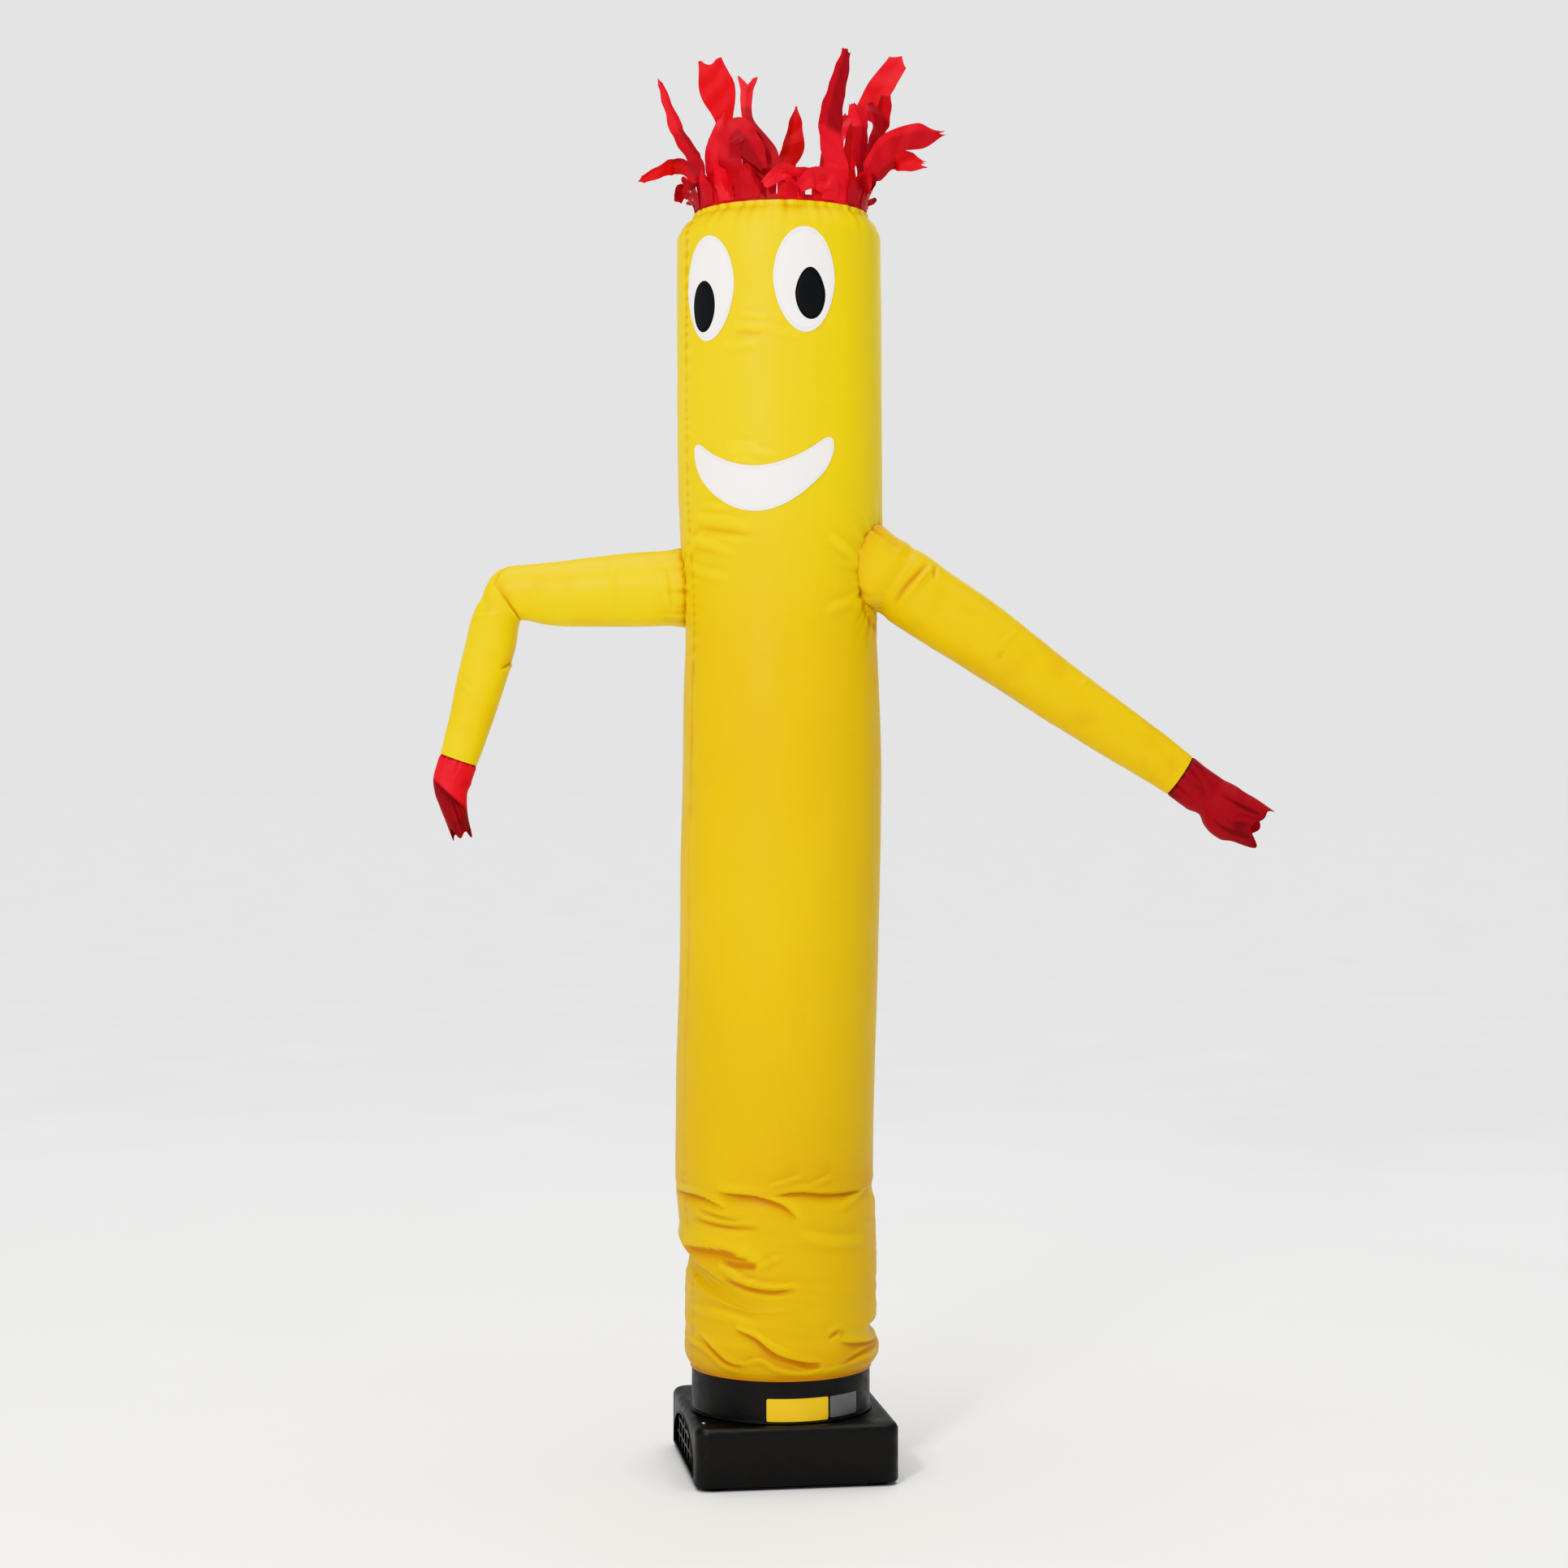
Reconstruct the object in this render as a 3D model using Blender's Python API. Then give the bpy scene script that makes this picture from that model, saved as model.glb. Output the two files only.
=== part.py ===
"""Inflatable air dancer on its blower: a cloth tube figure with arms, a face and a crown of streamers.

Metres, +Z up, -Y towards the viewer. The origin is the floor point under the tube's axis.
Left and right are the viewer's, facing the figure. An angle round the tube is measured from the
front, positive towards the right.
"""

import math
from collections import namedtuple

import bmesh
import bpy
from mathutils import Matrix, Vector

# Gaps and cloth
SEAT_GAP = 0.0003
SLEEVE_GAP = 0.0004
CLOTH = 0.0022
PATCH = 0.0012
PATCH_LIFT = 0.0009
PUPIL_LIFT = 0.0007

# Blower
HOUSING_WIDE = 0.426
HOUSING_DEEP = 0.456
HOUSING_CENTRE = (0.004, 0.020)
HOUSING_TURN = math.radians(8.5)
HOUSING_CORNER = 0.030
HOUSING_WALL = 0.0045
HOUSING_BOTTOM = 0.008
HOUSING_TOP = 0.130
PLATE_THICK = 0.003
PAD_SIDE = 0.200
PAD_CORNER = 0.012
PAD_DROP = 0.005
FOOT_RADIUS = 0.034
FOOT_TREAD = 0.0265
FOOT_INSET = 0.045
FOOT_SIDES = 16
DRUM_RADIUS = 0.1895
DRUM_WALL = 0.004
DRUM_TOP = 0.289
DRUM_BEAD = 0.004
INTAKE_WIDTH = 0.340
INTAKE_LOW = 0.022
INTAKE_HIGH = 0.107
INTAKE_SQUARENESS = 0.7
INTAKE_STEPS = 10
INTAKE_CUT = (-0.010, 0.008)
GUARD_THICK = 0.003
GUARD_LOW = 0.014
GUARD_HIGH = 0.110
GUARD_WIDTH = 0.356
GUARD_SLOTS = 7
GUARD_ROWS = 3
GUARD_BARS = 0.30
SCREW_RADIUS = 0.0045
SCREW_SIDES = 10
SCREW_PLACE = (-0.190, -0.169)

HousingLoop = namedtuple("HousingLoop", "inset corner height")

# The housing's outlines: how far each is inside its sides, its corner radius and its height. They
# run down the inside of the wall and then up the outside.
HOUSING_LOOPS = (
    HousingLoop(HOUSING_WALL + 0.012, 0.016, HOUSING_TOP - HOUSING_WALL),
    HousingLoop(HOUSING_WALL, HOUSING_CORNER - HOUSING_WALL, HOUSING_TOP - 0.018),
    HousingLoop(HOUSING_WALL, HOUSING_CORNER - HOUSING_WALL, HOUSING_BOTTOM),
    HousingLoop(0.002, HOUSING_CORNER, HOUSING_BOTTOM),
    HousingLoop(0.000, HOUSING_CORNER, HOUSING_BOTTOM + 0.004),
    HousingLoop(0.000, HOUSING_CORNER, HOUSING_TOP - 0.016),
    HousingLoop(0.005, HOUSING_CORNER - 0.004, HOUSING_TOP - 0.005),
    HousingLoop(0.016, HOUSING_CORNER - 0.012, HOUSING_TOP),
)

# Tube and its seam with the crown of streamers
TUBE_SIDES = 44
ARM_SIDES = 16
SEAM_RADIUS = 0.1865
SEAM_HEIGHT = 2.654
SEAM_STAND = 0.008
STRIP_RADIUS = 0.1834
STRIP_THICK = 0.0020
STRIP_LOW = 2.651
STRIP_HIGH = 2.675
STRIP_HALF_DEG = 6.25
PANEL_RADIUS = 0.1797
PANEL_LOW = 2.655
PANEL_CROWN = 0.018
PANEL_RINGS = ((1.00, 0.00), (0.62, 0.62), (0.12, 0.98))
STREAMER_ROWS = 10
STREAMER_RISE = 0.080
WIDTH_SHARES = (0.0, 1 / 3, 2 / 3, 0.86, 1.0)

TubeRow = namedtuple("TubeRow", "height centre radius slant left front right gather")

# One row for each ring of the tube, from the hem up. slant is how far the ring follows the long
# fold that falls from the left side to the front; left, front and right are how far the cloth
# stands out there; gather is the depth of the puckers over the drawn hem.
TUBE_ROWS = tuple(
    TubeRow(*row)
    for row in (
        (0.2195, 0.0000, 0.1926, 0.00, 0.0000, 0.0000, 0.0000, 0.0000),
        (0.2270, 0.0000, 0.1930, 0.00, 0.0000, 0.0000, 0.0000, 0.0003),
        (0.2340, 0.0010, 0.2000, 0.00, 0.0000, 0.0000, 0.0010, 0.0022),
        (0.2470, 0.0010, 0.2040, 0.00, 0.0000, 0.0010, 0.0035, 0.0030),
        (0.2630, 0.0010, 0.2045, 0.00, 0.0000, 0.0020, 0.0040, 0.0026),
        (0.2830, 0.0000, 0.2028, 0.00, 0.0000, 0.0010, 0.0000, 0.0014),
        (0.3050, 0.0000, 0.2024, 0.00, 0.0000, 0.0000, -0.0165, 0.0005),
        (0.3260, 0.0000, 0.2032, 0.00, 0.0000, 0.0000, 0.0010, 0.0000),
        (0.3610, 0.0000, 0.2030, 0.20, 0.0000, 0.0000, 0.0000, 0.0000),
        (0.4010, 0.0000, 0.2024, 0.50, 0.0000, 0.0020, 0.0000, 0.0000),
        (0.4370, 0.0000, 0.2024, 0.85, -0.0050, 0.0050, 0.0000, 0.0000),
        (0.4610, 0.0000, 0.2024, 1.00, -0.0110, -0.0080, 0.0000, 0.0000),
        (0.4810, -0.0020, 0.2032, 1.00, -0.0022, -0.0040, 0.0000, 0.0000),
        (0.5010, -0.0042, 0.2046, 1.00, 0.0095, 0.0065, 0.0000, 0.0000),
        (0.5150, -0.0055, 0.2054, 0.80, 0.0049, 0.0042, 0.0000, 0.0000),
        (0.5410, -0.0078, 0.2068, 0.35, 0.0021, 0.0000, 0.0000, 0.0000),
        (0.5730, -0.0108, 0.2088, 0.10, 0.0010, 0.0020, 0.0000, 0.0000),
        (0.5960, -0.0140, 0.2078, 0.00, 0.0010, -0.0055, -0.0020, 0.0000),
        (0.6210, -0.0145, 0.2104, 0.00, 0.0000, 0.0010, 0.0000, 0.0000),
        (0.7310, -0.0130, 0.2108, 0.00, 0.0000, 0.0000, 0.0000, 0.0000),
        (0.8910, -0.0095, 0.2111, 0.00, 0.0000, 0.0000, 0.0000, 0.0000),
        (1.0810, -0.0040, 0.2111, 0.00, 0.0000, 0.0000, 0.0000, 0.0000),
        (1.2810, -0.0010, 0.2128, 0.00, 0.0000, 0.0000, 0.0000, 0.0000),
        (1.4610, 0.0026, 0.2118, 0.00, 0.0000, 0.0000, 0.0000, 0.0000),
        (1.6210, 0.0017, 0.2093, 0.00, 0.0000, 0.0000, 0.0000, 0.0000),
        (1.7110, 0.0010, 0.2056, 0.00, 0.0000, 0.0000, 0.0000, 0.0000),
        (1.7710, 0.0010, 0.2035, 0.00, 0.0000, 0.0000, 0.0000, 0.0000),
        (1.8810, 0.0010, 0.2070, 0.00, 0.0000, 0.0000, 0.0000, 0.0000),
        (2.0010, 0.0010, 0.2154, 0.00, 0.0000, 0.0000, 0.0000, 0.0000),
        (2.0810, -0.0010, 0.2172, 0.00, 0.0000, 0.0000, 0.0000, 0.0000),
        (2.3210, -0.0030, 0.2180, 0.00, 0.0000, 0.0000, 0.0000, 0.0000),
        (2.6090, -0.0037, 0.2166, 0.00, 0.0000, 0.0000, 0.0000, 0.0000),
        (2.6290, -0.0020, 0.2090, 0.00, 0.0000, 0.0000, 0.0000, 0.0000),
        (2.6430, -0.0010, 0.1988, 0.00, 0.0000, 0.0000, 0.0000, 0.0000),
        (SEAM_HEIGHT, 0.0000, SEAM_RADIUS, 0.00, 0.0000, 0.0000, 0.0000, 0.0000),
        (SEAM_HEIGHT + SEAM_STAND, 0.0000, SEAM_RADIUS, 0.00, 0.0000, 0.0000, 0.0000, 0.0000),
    )
)
FOLD_DROP = 0.085
FOLD_START_DEG = -95.0
FOLD_LOW_DEG = -12.0
FOLD_END_DEG = 100.0
GATHERS = 11
GATHER_UNEVEN = 0.35
GATHER_TURN = 50.0
SLEEVE_REACH = (1.6, 2.1)

Swell = namedtuple("Swell", "middle spread")
LEFT_SWELL = Swell(-90.0, 60.0)
FRONT_SWELL = Swell(-38.0, 52.0)
RIGHT_SWELL = Swell(90.0, 38.0)

Station = namedtuple("Station", "x y z dip up deep")

# Along each sleeve: the ring's centre, how far its heading dips below level, in degrees, its half
# height in the plane of the arm and its half depth.
UPPER_ARM_LEFT = (
    Station(-0.1500, 0.0450, 1.8750, 0.0, 0.0865, 0.0865),
    Station(-0.2130, 0.0480, 1.8750, 0.0, 0.0847, 0.0850),
    Station(-0.2450, 0.0490, 1.8740, 1.0, 0.0805, 0.0815),
    Station(-0.3000, 0.0520, 1.8719, 1.0, 0.0800, 0.0800),
    Station(-0.3880, 0.0560, 1.8675, 2.0, 0.0755, 0.0755),
    Station(-0.4930, 0.0600, 1.8630, 1.0, 0.0677, 0.0680),
)
ElbowRing = namedtuple("ElbowRing", "dip up")

# Rings fanned round the inside of the bent elbow, which flattens where the cloth is creased.
ELBOW_INNER = (-0.5575, 0.0620, 1.8030)
ELBOW_INSIDE = 0.0040
ELBOW_DEEP = 0.0585
ELBOW_RINGS = (
    ElbowRing(4.0, 0.0592),
    ElbowRing(20.0, 0.0588),
    ElbowRing(34.0, 0.0562),
    ElbowRing(47.0, 0.0515),
    ElbowRing(61.0, 0.0480),
    ElbowRing(74.0, 0.0500),
)
FOREARM_LEFT = (
    Station(-0.6250, 0.0610, 1.7510, 76.0, 0.0535, 0.0540),
    Station(-0.6500, 0.0580, 1.6567, 73.0, 0.0507, 0.0510),
    Station(-0.6680, 0.0520, 1.5868, 72.0, 0.0462, 0.0465),
    Station(-0.6918, 0.0450, 1.5064, 71.0, 0.0407, 0.0410),
)
ARM_RIGHT = (
    Station(0.1500, -0.0450, 1.9300, 33.0, 0.0960, 0.0930),
    Station(0.2112, -0.0500, 1.8898, 33.6, 0.0925, 0.0890),
    Station(0.2472, -0.0505, 1.8830, 31.0, 0.0765, 0.0790),
    Station(0.2770, -0.0510, 1.8620, 33.0, 0.0792, 0.0790),
    Station(0.3056, -0.0520, 1.8420, 33.5, 0.0784, 0.0780),
    Station(0.3914, -0.0550, 1.7860, 35.0, 0.0762, 0.0760),
    Station(0.5029, -0.0600, 1.7071, 35.5, 0.0693, 0.0695),
    Station(0.5904, -0.0650, 1.6436, 35.0, 0.0636, 0.0640),
    Station(0.6796, -0.0700, 1.5827, 34.5, 0.0587, 0.0590),
    Station(0.7706, -0.0750, 1.5209, 34.5, 0.0529, 0.0530),
    Station(0.8383, -0.0800, 1.4729, 34.0, 0.0476, 0.0480),
)
HAND_LEFT = (
    Station(-0.6919, 0.0450, 1.5061, 71.0, 0.0405, 0.0410),
    Station(-0.7045, 0.0430, 1.4610, 82.0, 0.0410, 0.0380),
    Station(-0.7066, 0.0420, 1.4383, 92.0, 0.0360, 0.0350),
    Station(-0.7023, 0.0410, 1.4086, 101.0, 0.0290, 0.0310),
    Station(-0.6936, 0.0400, 1.3771, 106.0, 0.0245, 0.0290),
    Station(-0.6850, 0.0390, 1.3485, 107.0, 0.0225, 0.0280),
)
HAND_RIGHT = (
    Station(0.8386, -0.0801, 1.4727, 34.0, 0.0474, 0.0480),
    Station(0.8810, -0.0830, 1.4410, 33.4, 0.0470, 0.0440),
    Station(0.9040, -0.0845, 1.4280, 33.4, 0.0440, 0.0400),
    Station(0.9180, -0.0855, 1.4120, 33.4, 0.0515, 0.0420),
    Station(0.9340, -0.0870, 1.3980, 33.4, 0.0560, 0.0430),
    Station(0.9560, -0.0880, 1.3835, 33.4, 0.0560, 0.0420),
    Station(0.9770, -0.0890, 1.3740, 33.4, 0.0525, 0.0400),
    Station(0.9980, -0.0900, 1.3630, 33.4, 0.0490, 0.0380),
)
HAND_LEFT_RAG = 0.009
HAND_RIGHT_RAG = 0.012

Streamer = namedtuple("Streamer", "root low high tip wide turn")

# Each comb of streamers by its name: where a streamer is rooted on the seam, in degrees, a low and
# a high point that it runs through, its tip, its widths at those three points and just before the
# tip, and how far its face turns.
COMBS = {
    "hair_back_left": (
        Streamer(
            -163, (-0.060, 0.190, 2.790), (-0.070, 0.215, 2.845), (-0.095, 0.245, 2.890),
            (0.050, 0.044, 0.032, 0.020), 20,
        ),
        Streamer(
            -141, (-0.138, 0.130, 2.805), (-0.122, 0.090, 2.880), (-0.152, 0.030, 3.006),
            (0.040, 0.036, 0.072, 0.036), -42,
        ),
        Streamer(
            -121, (-0.165, 0.110, 2.765), (-0.185, 0.135, 2.810), (-0.205, 0.165, 2.835),
            (0.044, 0.036, 0.028, 0.018), 30,
        ),
    ),
    "hair_left": (
        Streamer(
            -102, (-0.190, 0.050, 2.705), (-0.211, 0.058, 2.735), (-0.222, 0.065, 2.708),
            (0.036, 0.030, 0.026, 0.018), 40,
        ),
        Streamer(
            -84, (-0.175, -0.028, 2.728), (-0.218, -0.035, 2.763), (-0.292, -0.040, 2.734),
            (0.040, 0.042, 0.024, 0.014), 80,
        ),
        Streamer(
            -66, (-0.173, -0.088, 2.751), (-0.214, -0.100, 2.817), (-0.253, -0.100, 2.922),
            (0.040, 0.030, 0.022, 0.012), 60,
        ),
    ),
    "hair_front_left": (
        Streamer(
            -46, (-0.128, -0.142, 2.735), (-0.115, -0.160, 2.782), (-0.080, -0.172, 2.748),
            (0.046, 0.042, 0.034, 0.022), 15,
        ),
        Streamer(
            -28, (-0.108, -0.185, 2.755), (-0.092, -0.195, 2.812), (-0.030, -0.200, 2.742),
            (0.058, 0.054, 0.046, 0.030), -10,
        ),
        Streamer(
            -9, (-0.020, -0.160, 2.735), (-0.064, -0.138, 2.825), (-0.069, -0.120, 2.933),
            (0.048, 0.024, 0.024, 0.038), 5,
        ),
    ),
    "hair_front_right": (
        Streamer(
            10, (0.030, -0.196, 2.702), (0.005, -0.206, 2.716), (-0.035, -0.206, 2.688),
            (0.038, 0.034, 0.028, 0.018), 20,
        ),
        Streamer(
            27, (0.074, -0.182, 2.706), (0.048, -0.190, 2.716), (0.010, -0.190, 2.722),
            (0.034, 0.028, 0.020, 0.012), 30,
        ),
        Streamer(
            44, (0.120, -0.140, 2.740), (0.105, -0.120, 2.838), (0.139, -0.080, 2.998),
            (0.064, 0.066, 0.050, 0.026), 5,
        ),
    ),
    "hair_right": (
        Streamer(
            65, (0.188, -0.080, 2.745), (0.232, -0.082, 2.803), (0.338, -0.070, 2.826),
            (0.048, 0.052, 0.044, 0.010), -58,
        ),
        Streamer(
            83, (0.198, -0.030, 2.735), (0.236, -0.032, 2.775), (0.306, -0.030, 2.768),
            (0.046, 0.048, 0.040, 0.014), -62,
        ),
        Streamer(
            101, (0.181, 0.040, 2.788), (0.214, 0.040, 2.857), (0.226, 0.030, 2.928),
            (0.044, 0.040, 0.036, 0.024), 50,
        ),
    ),
    "hair_back_right": (
        Streamer(
            121, (0.150, 0.100, 2.799), (0.172, 0.088, 2.890), (0.252, 0.062, 3.008),
            (0.040, 0.038, 0.052, 0.040), 52,
        ),
        Streamer(
            147, (0.105, 0.165, 2.800), (0.120, 0.190, 2.870), (0.150, 0.215, 2.930),
            (0.048, 0.044, 0.036, 0.020), 20,
        ),
        Streamer(
            171, (0.011, 0.182, 2.800), (0.028, 0.170, 2.852), (0.034, 0.150, 2.934),
            (0.038, 0.044, 0.028, 0.006), 10,
        ),
    ),
}

Oval = namedtuple("Oval", "angle height half_wide half_tall narrowing")

# Sewn-on ovals: the angle and height of the middle, the half sizes along the cloth, and how much
# narrower the lower half is.
EYES = {
    "left": Oval(-42.6, 2.4830, 0.0670, 0.1100, 0.10),
    "right": Oval(14.4, 2.4935, 0.0670, 0.1095, 0.10),
}
PUPILS = {
    "left": Oval(-45.4, 2.4460, 0.0315, 0.0535, 0.0),
    "right": Oval(17.3, 2.4650, 0.0325, 0.0540, 0.0),
}
FACE_RADIUS = 0.2175
OVAL_CUT = 0.06
MOUTH_ANGLE = -10.5
MOUTH_HALF_DEG = 41.5
MOUTH_TIPS = 2.1575
MOUTH_LEAN = 0.0075
MOUTH_UPPER_SAG = 0.0547
MOUTH_LOWER_SAG = 0.1327
MOUTH_TIP_HALF = 0.009
MOUTH_UPPER_CURVE = 1.5
MOUTH_LOWER_CURVE = (3.1, 2.6)

Plate = namedtuple("Plate", "start end low high")
PLATES = {
    "plate_yellow": Plate(-8.8, 31.3, 0.1362, 0.1835),
    "plate_grey": Plate(32.6, 56.2, 0.1385, 0.1835),
}
PLATE_SHEET = 0.0008

Finish = namedtuple("Finish", "colour roughness metallic")
FINISHES = {
    "yellow_cloth": Finish((0.86, 0.58, 0.02), 0.55, 0.0),
    "red_cloth": Finish((0.62, 0.01, 0.02), 0.50, 0.0),
    "white_cloth": Finish((0.86, 0.82, 0.82), 0.60, 0.0),
    "black_cloth": Finish((0.01, 0.01, 0.012), 0.60, 0.0),
    "black_plastic": Finish((0.012, 0.012, 0.013), 0.45, 0.0),
    "rubber": Finish((0.02, 0.02, 0.02), 0.80, 0.0),
    "steel": Finish((0.65, 0.65, 0.66), 0.30, 1.0),
    "yellow_plate": Finish((0.80, 0.60, 0.05), 0.40, 0.0),
    "grey_plate": Finish((0.12, 0.13, 0.14), 0.45, 0.0),
}


def clear_scene():
    for thing in list(bpy.data.objects):
        bpy.data.objects.remove(thing, do_unlink=True)


def make_finish(name):
    """The named material, made once."""
    known = bpy.data.materials.get(name)
    if known:
        return known
    finish = FINISHES[name]
    material = bpy.data.materials.new(name)
    material.use_nodes = True
    shader = material.node_tree.nodes["Principled BSDF"]
    shader.inputs["Base Color"].default_value = (*finish.colour, 1.0)
    shader.inputs["Roughness"].default_value = finish.roughness
    shader.inputs["Metallic"].default_value = finish.metallic
    return material


def add_piece(name, points, faces, finish, parent=None):
    """A mesh object of these points and faces, shaded smooth between its sharp edges."""
    mesh = bpy.data.meshes.new(name)
    mesh.from_pydata(points, [], faces)
    mesh.shade_smooth()
    mesh.set_sharp_from_angle(angle=math.radians(35))
    mesh.materials.append(make_finish(finish))
    piece = bpy.data.objects.new(name, mesh)
    bpy.context.scene.collection.objects.link(piece)
    piece.parent = parent
    return piece


def add_helper(name, points, faces, parent=None):
    """A solid that only cuts others."""
    helper = add_piece(name, points, faces, "steel", parent)
    helper.hide_render = True
    helper.display_type = "WIRE"
    return helper


def thicken(piece, thickness, outward=False):
    wall = piece.modifiers.new("wall", "SOLIDIFY")
    wall.thickness = thickness
    wall.offset = 1.0 if outward else -1.0


def cut(piece, helper):
    boolean = piece.modifiers.new("cut_" + helper.name, "BOOLEAN")
    boolean.operation = "DIFFERENCE"
    boolean.solver = "EXACT"
    boolean.object = helper


def sleeve_faces(rows, sides):
    """Quads between the rings of a tube, whose rings run anticlockwise seen from its far end."""
    return [
        (row * sides + side, row * sides + after, (row + 1) * sides + after, (row + 1) * sides + side)
        for row in range(rows - 1)
        for side, after in ((k, (k + 1) % sides) for k in range(sides))
    ]


def closed_faces(rows, sides):
    """A tube's quads with a lid at each end."""
    first_lid = tuple(reversed(range(sides)))
    last_lid = tuple(range((rows - 1) * sides, rows * sides))
    return sleeve_faces(rows, sides) + [first_lid, last_lid]


def sheet_faces(rows, columns):
    """Quads of a sheet whose rows run left to right and climb."""
    return [
        (row * columns + k, row * columns + k + 1, (row + 1) * columns + k + 1, (row + 1) * columns + k)
        for row in range(rows - 1)
        for k in range(columns - 1)
    ]


def turned(profile, sides, x=0.0, y=0.0):
    """The points of a profile of (radius, height) turned round an upright axis."""
    angles = [math.tau * side / sides for side in range(sides)]
    return [
        (x + radius * math.sin(angle), y - radius * math.cos(angle), height)
        for radius, height in profile
        for angle in angles
    ]


def ease(share):
    """From 0 to 1 with a soft start and end."""
    share = min(max(share, 0.0), 1.0)
    return share * share * (3.0 - 2.0 * share)


def swell(angle, place):
    """1 at the middle of the place, falling smoothly to 0 at its spread on both sides."""
    away = abs((angle - place.middle + 180.0) % 360.0 - 180.0)
    return ease(1.0 - away / place.spread)


# ---------------------------------------------------------------- tube


def fold_drop(angle):
    """How far the long fold has fallen at this angle."""
    if angle <= FOLD_LOW_DEG:
        return FOLD_DROP * ease((angle - FOLD_START_DEG) / (FOLD_LOW_DEG - FOLD_START_DEG))
    return FOLD_DROP * ease((FOLD_END_DEG - angle) / (FOLD_END_DEG - FOLD_LOW_DEG))


def tube_ring(row, spare=0.0):
    """The points of one ring of the tube, this much outside the cloth."""
    points = []
    for side in range(TUBE_SIDES):
        degrees = (360.0 * side / TUBE_SIDES + 180.0) % 360.0 - 180.0
        radius = row.radius + spare
        radius += row.left * swell(degrees, LEFT_SWELL)
        radius += row.front * swell(degrees, FRONT_SWELL)
        radius += row.right * swell(degrees, RIGHT_SWELL)
        wave = math.sin(math.radians(2.0 * degrees + GATHER_TURN))
        uneven = 1.0 + GATHER_UNEVEN * (wave - 1.0)
        radius += row.gather * uneven * math.cos(math.radians(GATHERS * degrees))
        angle = math.radians(degrees)
        height = row.height - row.slant * fold_drop(degrees)
        points.append((row.centre + radius * math.sin(angle), -radius * math.cos(angle), height))
    return points


def on_tube(degrees, height, lift):
    """The point on the tube's flat facets at this angle and height, raised by lift."""
    upper = next(k for k, row in enumerate(TUBE_ROWS) if row.height >= height)
    low, high = TUBE_ROWS[upper - 1], TUBE_ROWS[upper]
    share = (height - low.height) / (high.height - low.height)
    radius = low.radius + share * (high.radius - low.radius)
    centre = low.centre + share * (high.centre - low.centre)
    return on_facets(degrees, radius, lift, height, centre)


def on_facets(degrees, radius, lift, height, centre=0.0):
    """The point of a round shape of TUBE_SIDES flat facets at this angle, raised by lift."""
    step = 360.0 / TUBE_SIDES
    from_middle = math.radians(degrees % step - step / 2)
    reach = radius * math.cos(math.radians(step / 2)) / math.cos(from_middle) + lift
    angle = math.radians(degrees)
    return (centre + reach * math.sin(angle), -reach * math.cos(angle), height)


def make_tube(arm_holes):
    points = [point for row in TUBE_ROWS for point in tube_ring(row)]
    tube = add_piece("body_tube", points, sleeve_faces(len(TUBE_ROWS), TUBE_SIDES), "yellow_cloth")
    thicken(tube, CLOTH)
    for hole in arm_holes:
        cut(tube, hole)
    return tube


def make_tube_envelope():
    """The outside of the tube round the arm seams, a seat gap larger, to trim the sleeves by."""
    low, high = SLEEVE_REACH
    rows = [row for row in TUBE_ROWS if low < row.height < high]
    points = [point for row in rows for point in tube_ring(row, SLEEVE_GAP)]
    return add_helper("tube_envelope", points, closed_faces(len(rows), TUBE_SIDES))


def make_top_panel():
    """The domed round panel inside the seam."""
    profile = [(PANEL_RADIUS * reach, PANEL_LOW + PANEL_CROWN * rise) for reach, rise in PANEL_RINGS]
    points = turned(profile, TUBE_SIDES)
    inner = (len(profile) - 1) * TUBE_SIDES
    faces = sleeve_faces(len(profile), TUBE_SIDES) + [tuple(range(inner, inner + TUBE_SIDES))]
    panel = add_piece("top_panel", points, faces, "yellow_cloth")
    thicken(panel, CLOTH)


# ---------------------------------------------------------------- arms and hands


def station_ring(station, side, inset=0.0, rag=0.0):
    """One ring of a sleeve; side is -1 on the left and 1 on the right."""
    dip = math.radians(station.dip)
    along = Vector((side * math.cos(dip), 0.0, -math.sin(dip)))
    upward = Vector((side * math.sin(dip), 0.0, math.cos(dip)))
    across = Vector((0.0, -side, 0.0))
    centre = Vector((station.x, station.y, station.z))
    points = []
    for k in range(ARM_SIDES):
        turn = math.tau * k / ARM_SIDES
        point = centre + upward * (station.up - inset) * math.cos(turn)
        point += across * (station.deep - inset) * math.sin(turn)
        tear = math.sin(3.0 * turn + 0.6) + 0.7 * math.sin(5.0 * turn + 2.0)
        points.append(tuple(point + along * rag * tear))
    return points


def sleeve_points(stations, side, inset=0.0, rag=0.0):
    last = len(stations) - 1
    rings = [
        station_ring(station, side, inset, rag if k == last else 0.0)
        for k, station in enumerate(stations)
    ]
    return [point for ring in rings for point in ring]


def elbow_stations():
    """The fanned rings as stations, each a little way off the inside of the bend."""
    stations = []
    for ring in ELBOW_RINGS:
        turn = math.radians(ring.dip)
        reach = ELBOW_INSIDE + ring.up
        x = ELBOW_INNER[0] - reach * math.sin(turn)
        z = ELBOW_INNER[2] + reach * math.cos(turn)
        stations.append(Station(x, ELBOW_INNER[1], z, ring.dip, ring.up, ELBOW_DEEP))
    return tuple(stations)


def make_arm(name, stations, side, envelope):
    points = sleeve_points(stations, side)
    arm = add_piece(name, points, sleeve_faces(len(stations), ARM_SIDES), "yellow_cloth")
    thicken(arm, CLOTH)
    cut(arm, envelope)


def make_arm_hole(name, stations, side):
    """A plug of the sleeve's bore, from inside the tube to outside it."""
    plug = stations[:3]
    points = sleeve_points(plug, side, inset=CLOTH)
    return add_helper(name, points, closed_faces(len(plug), ARM_SIDES))


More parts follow.
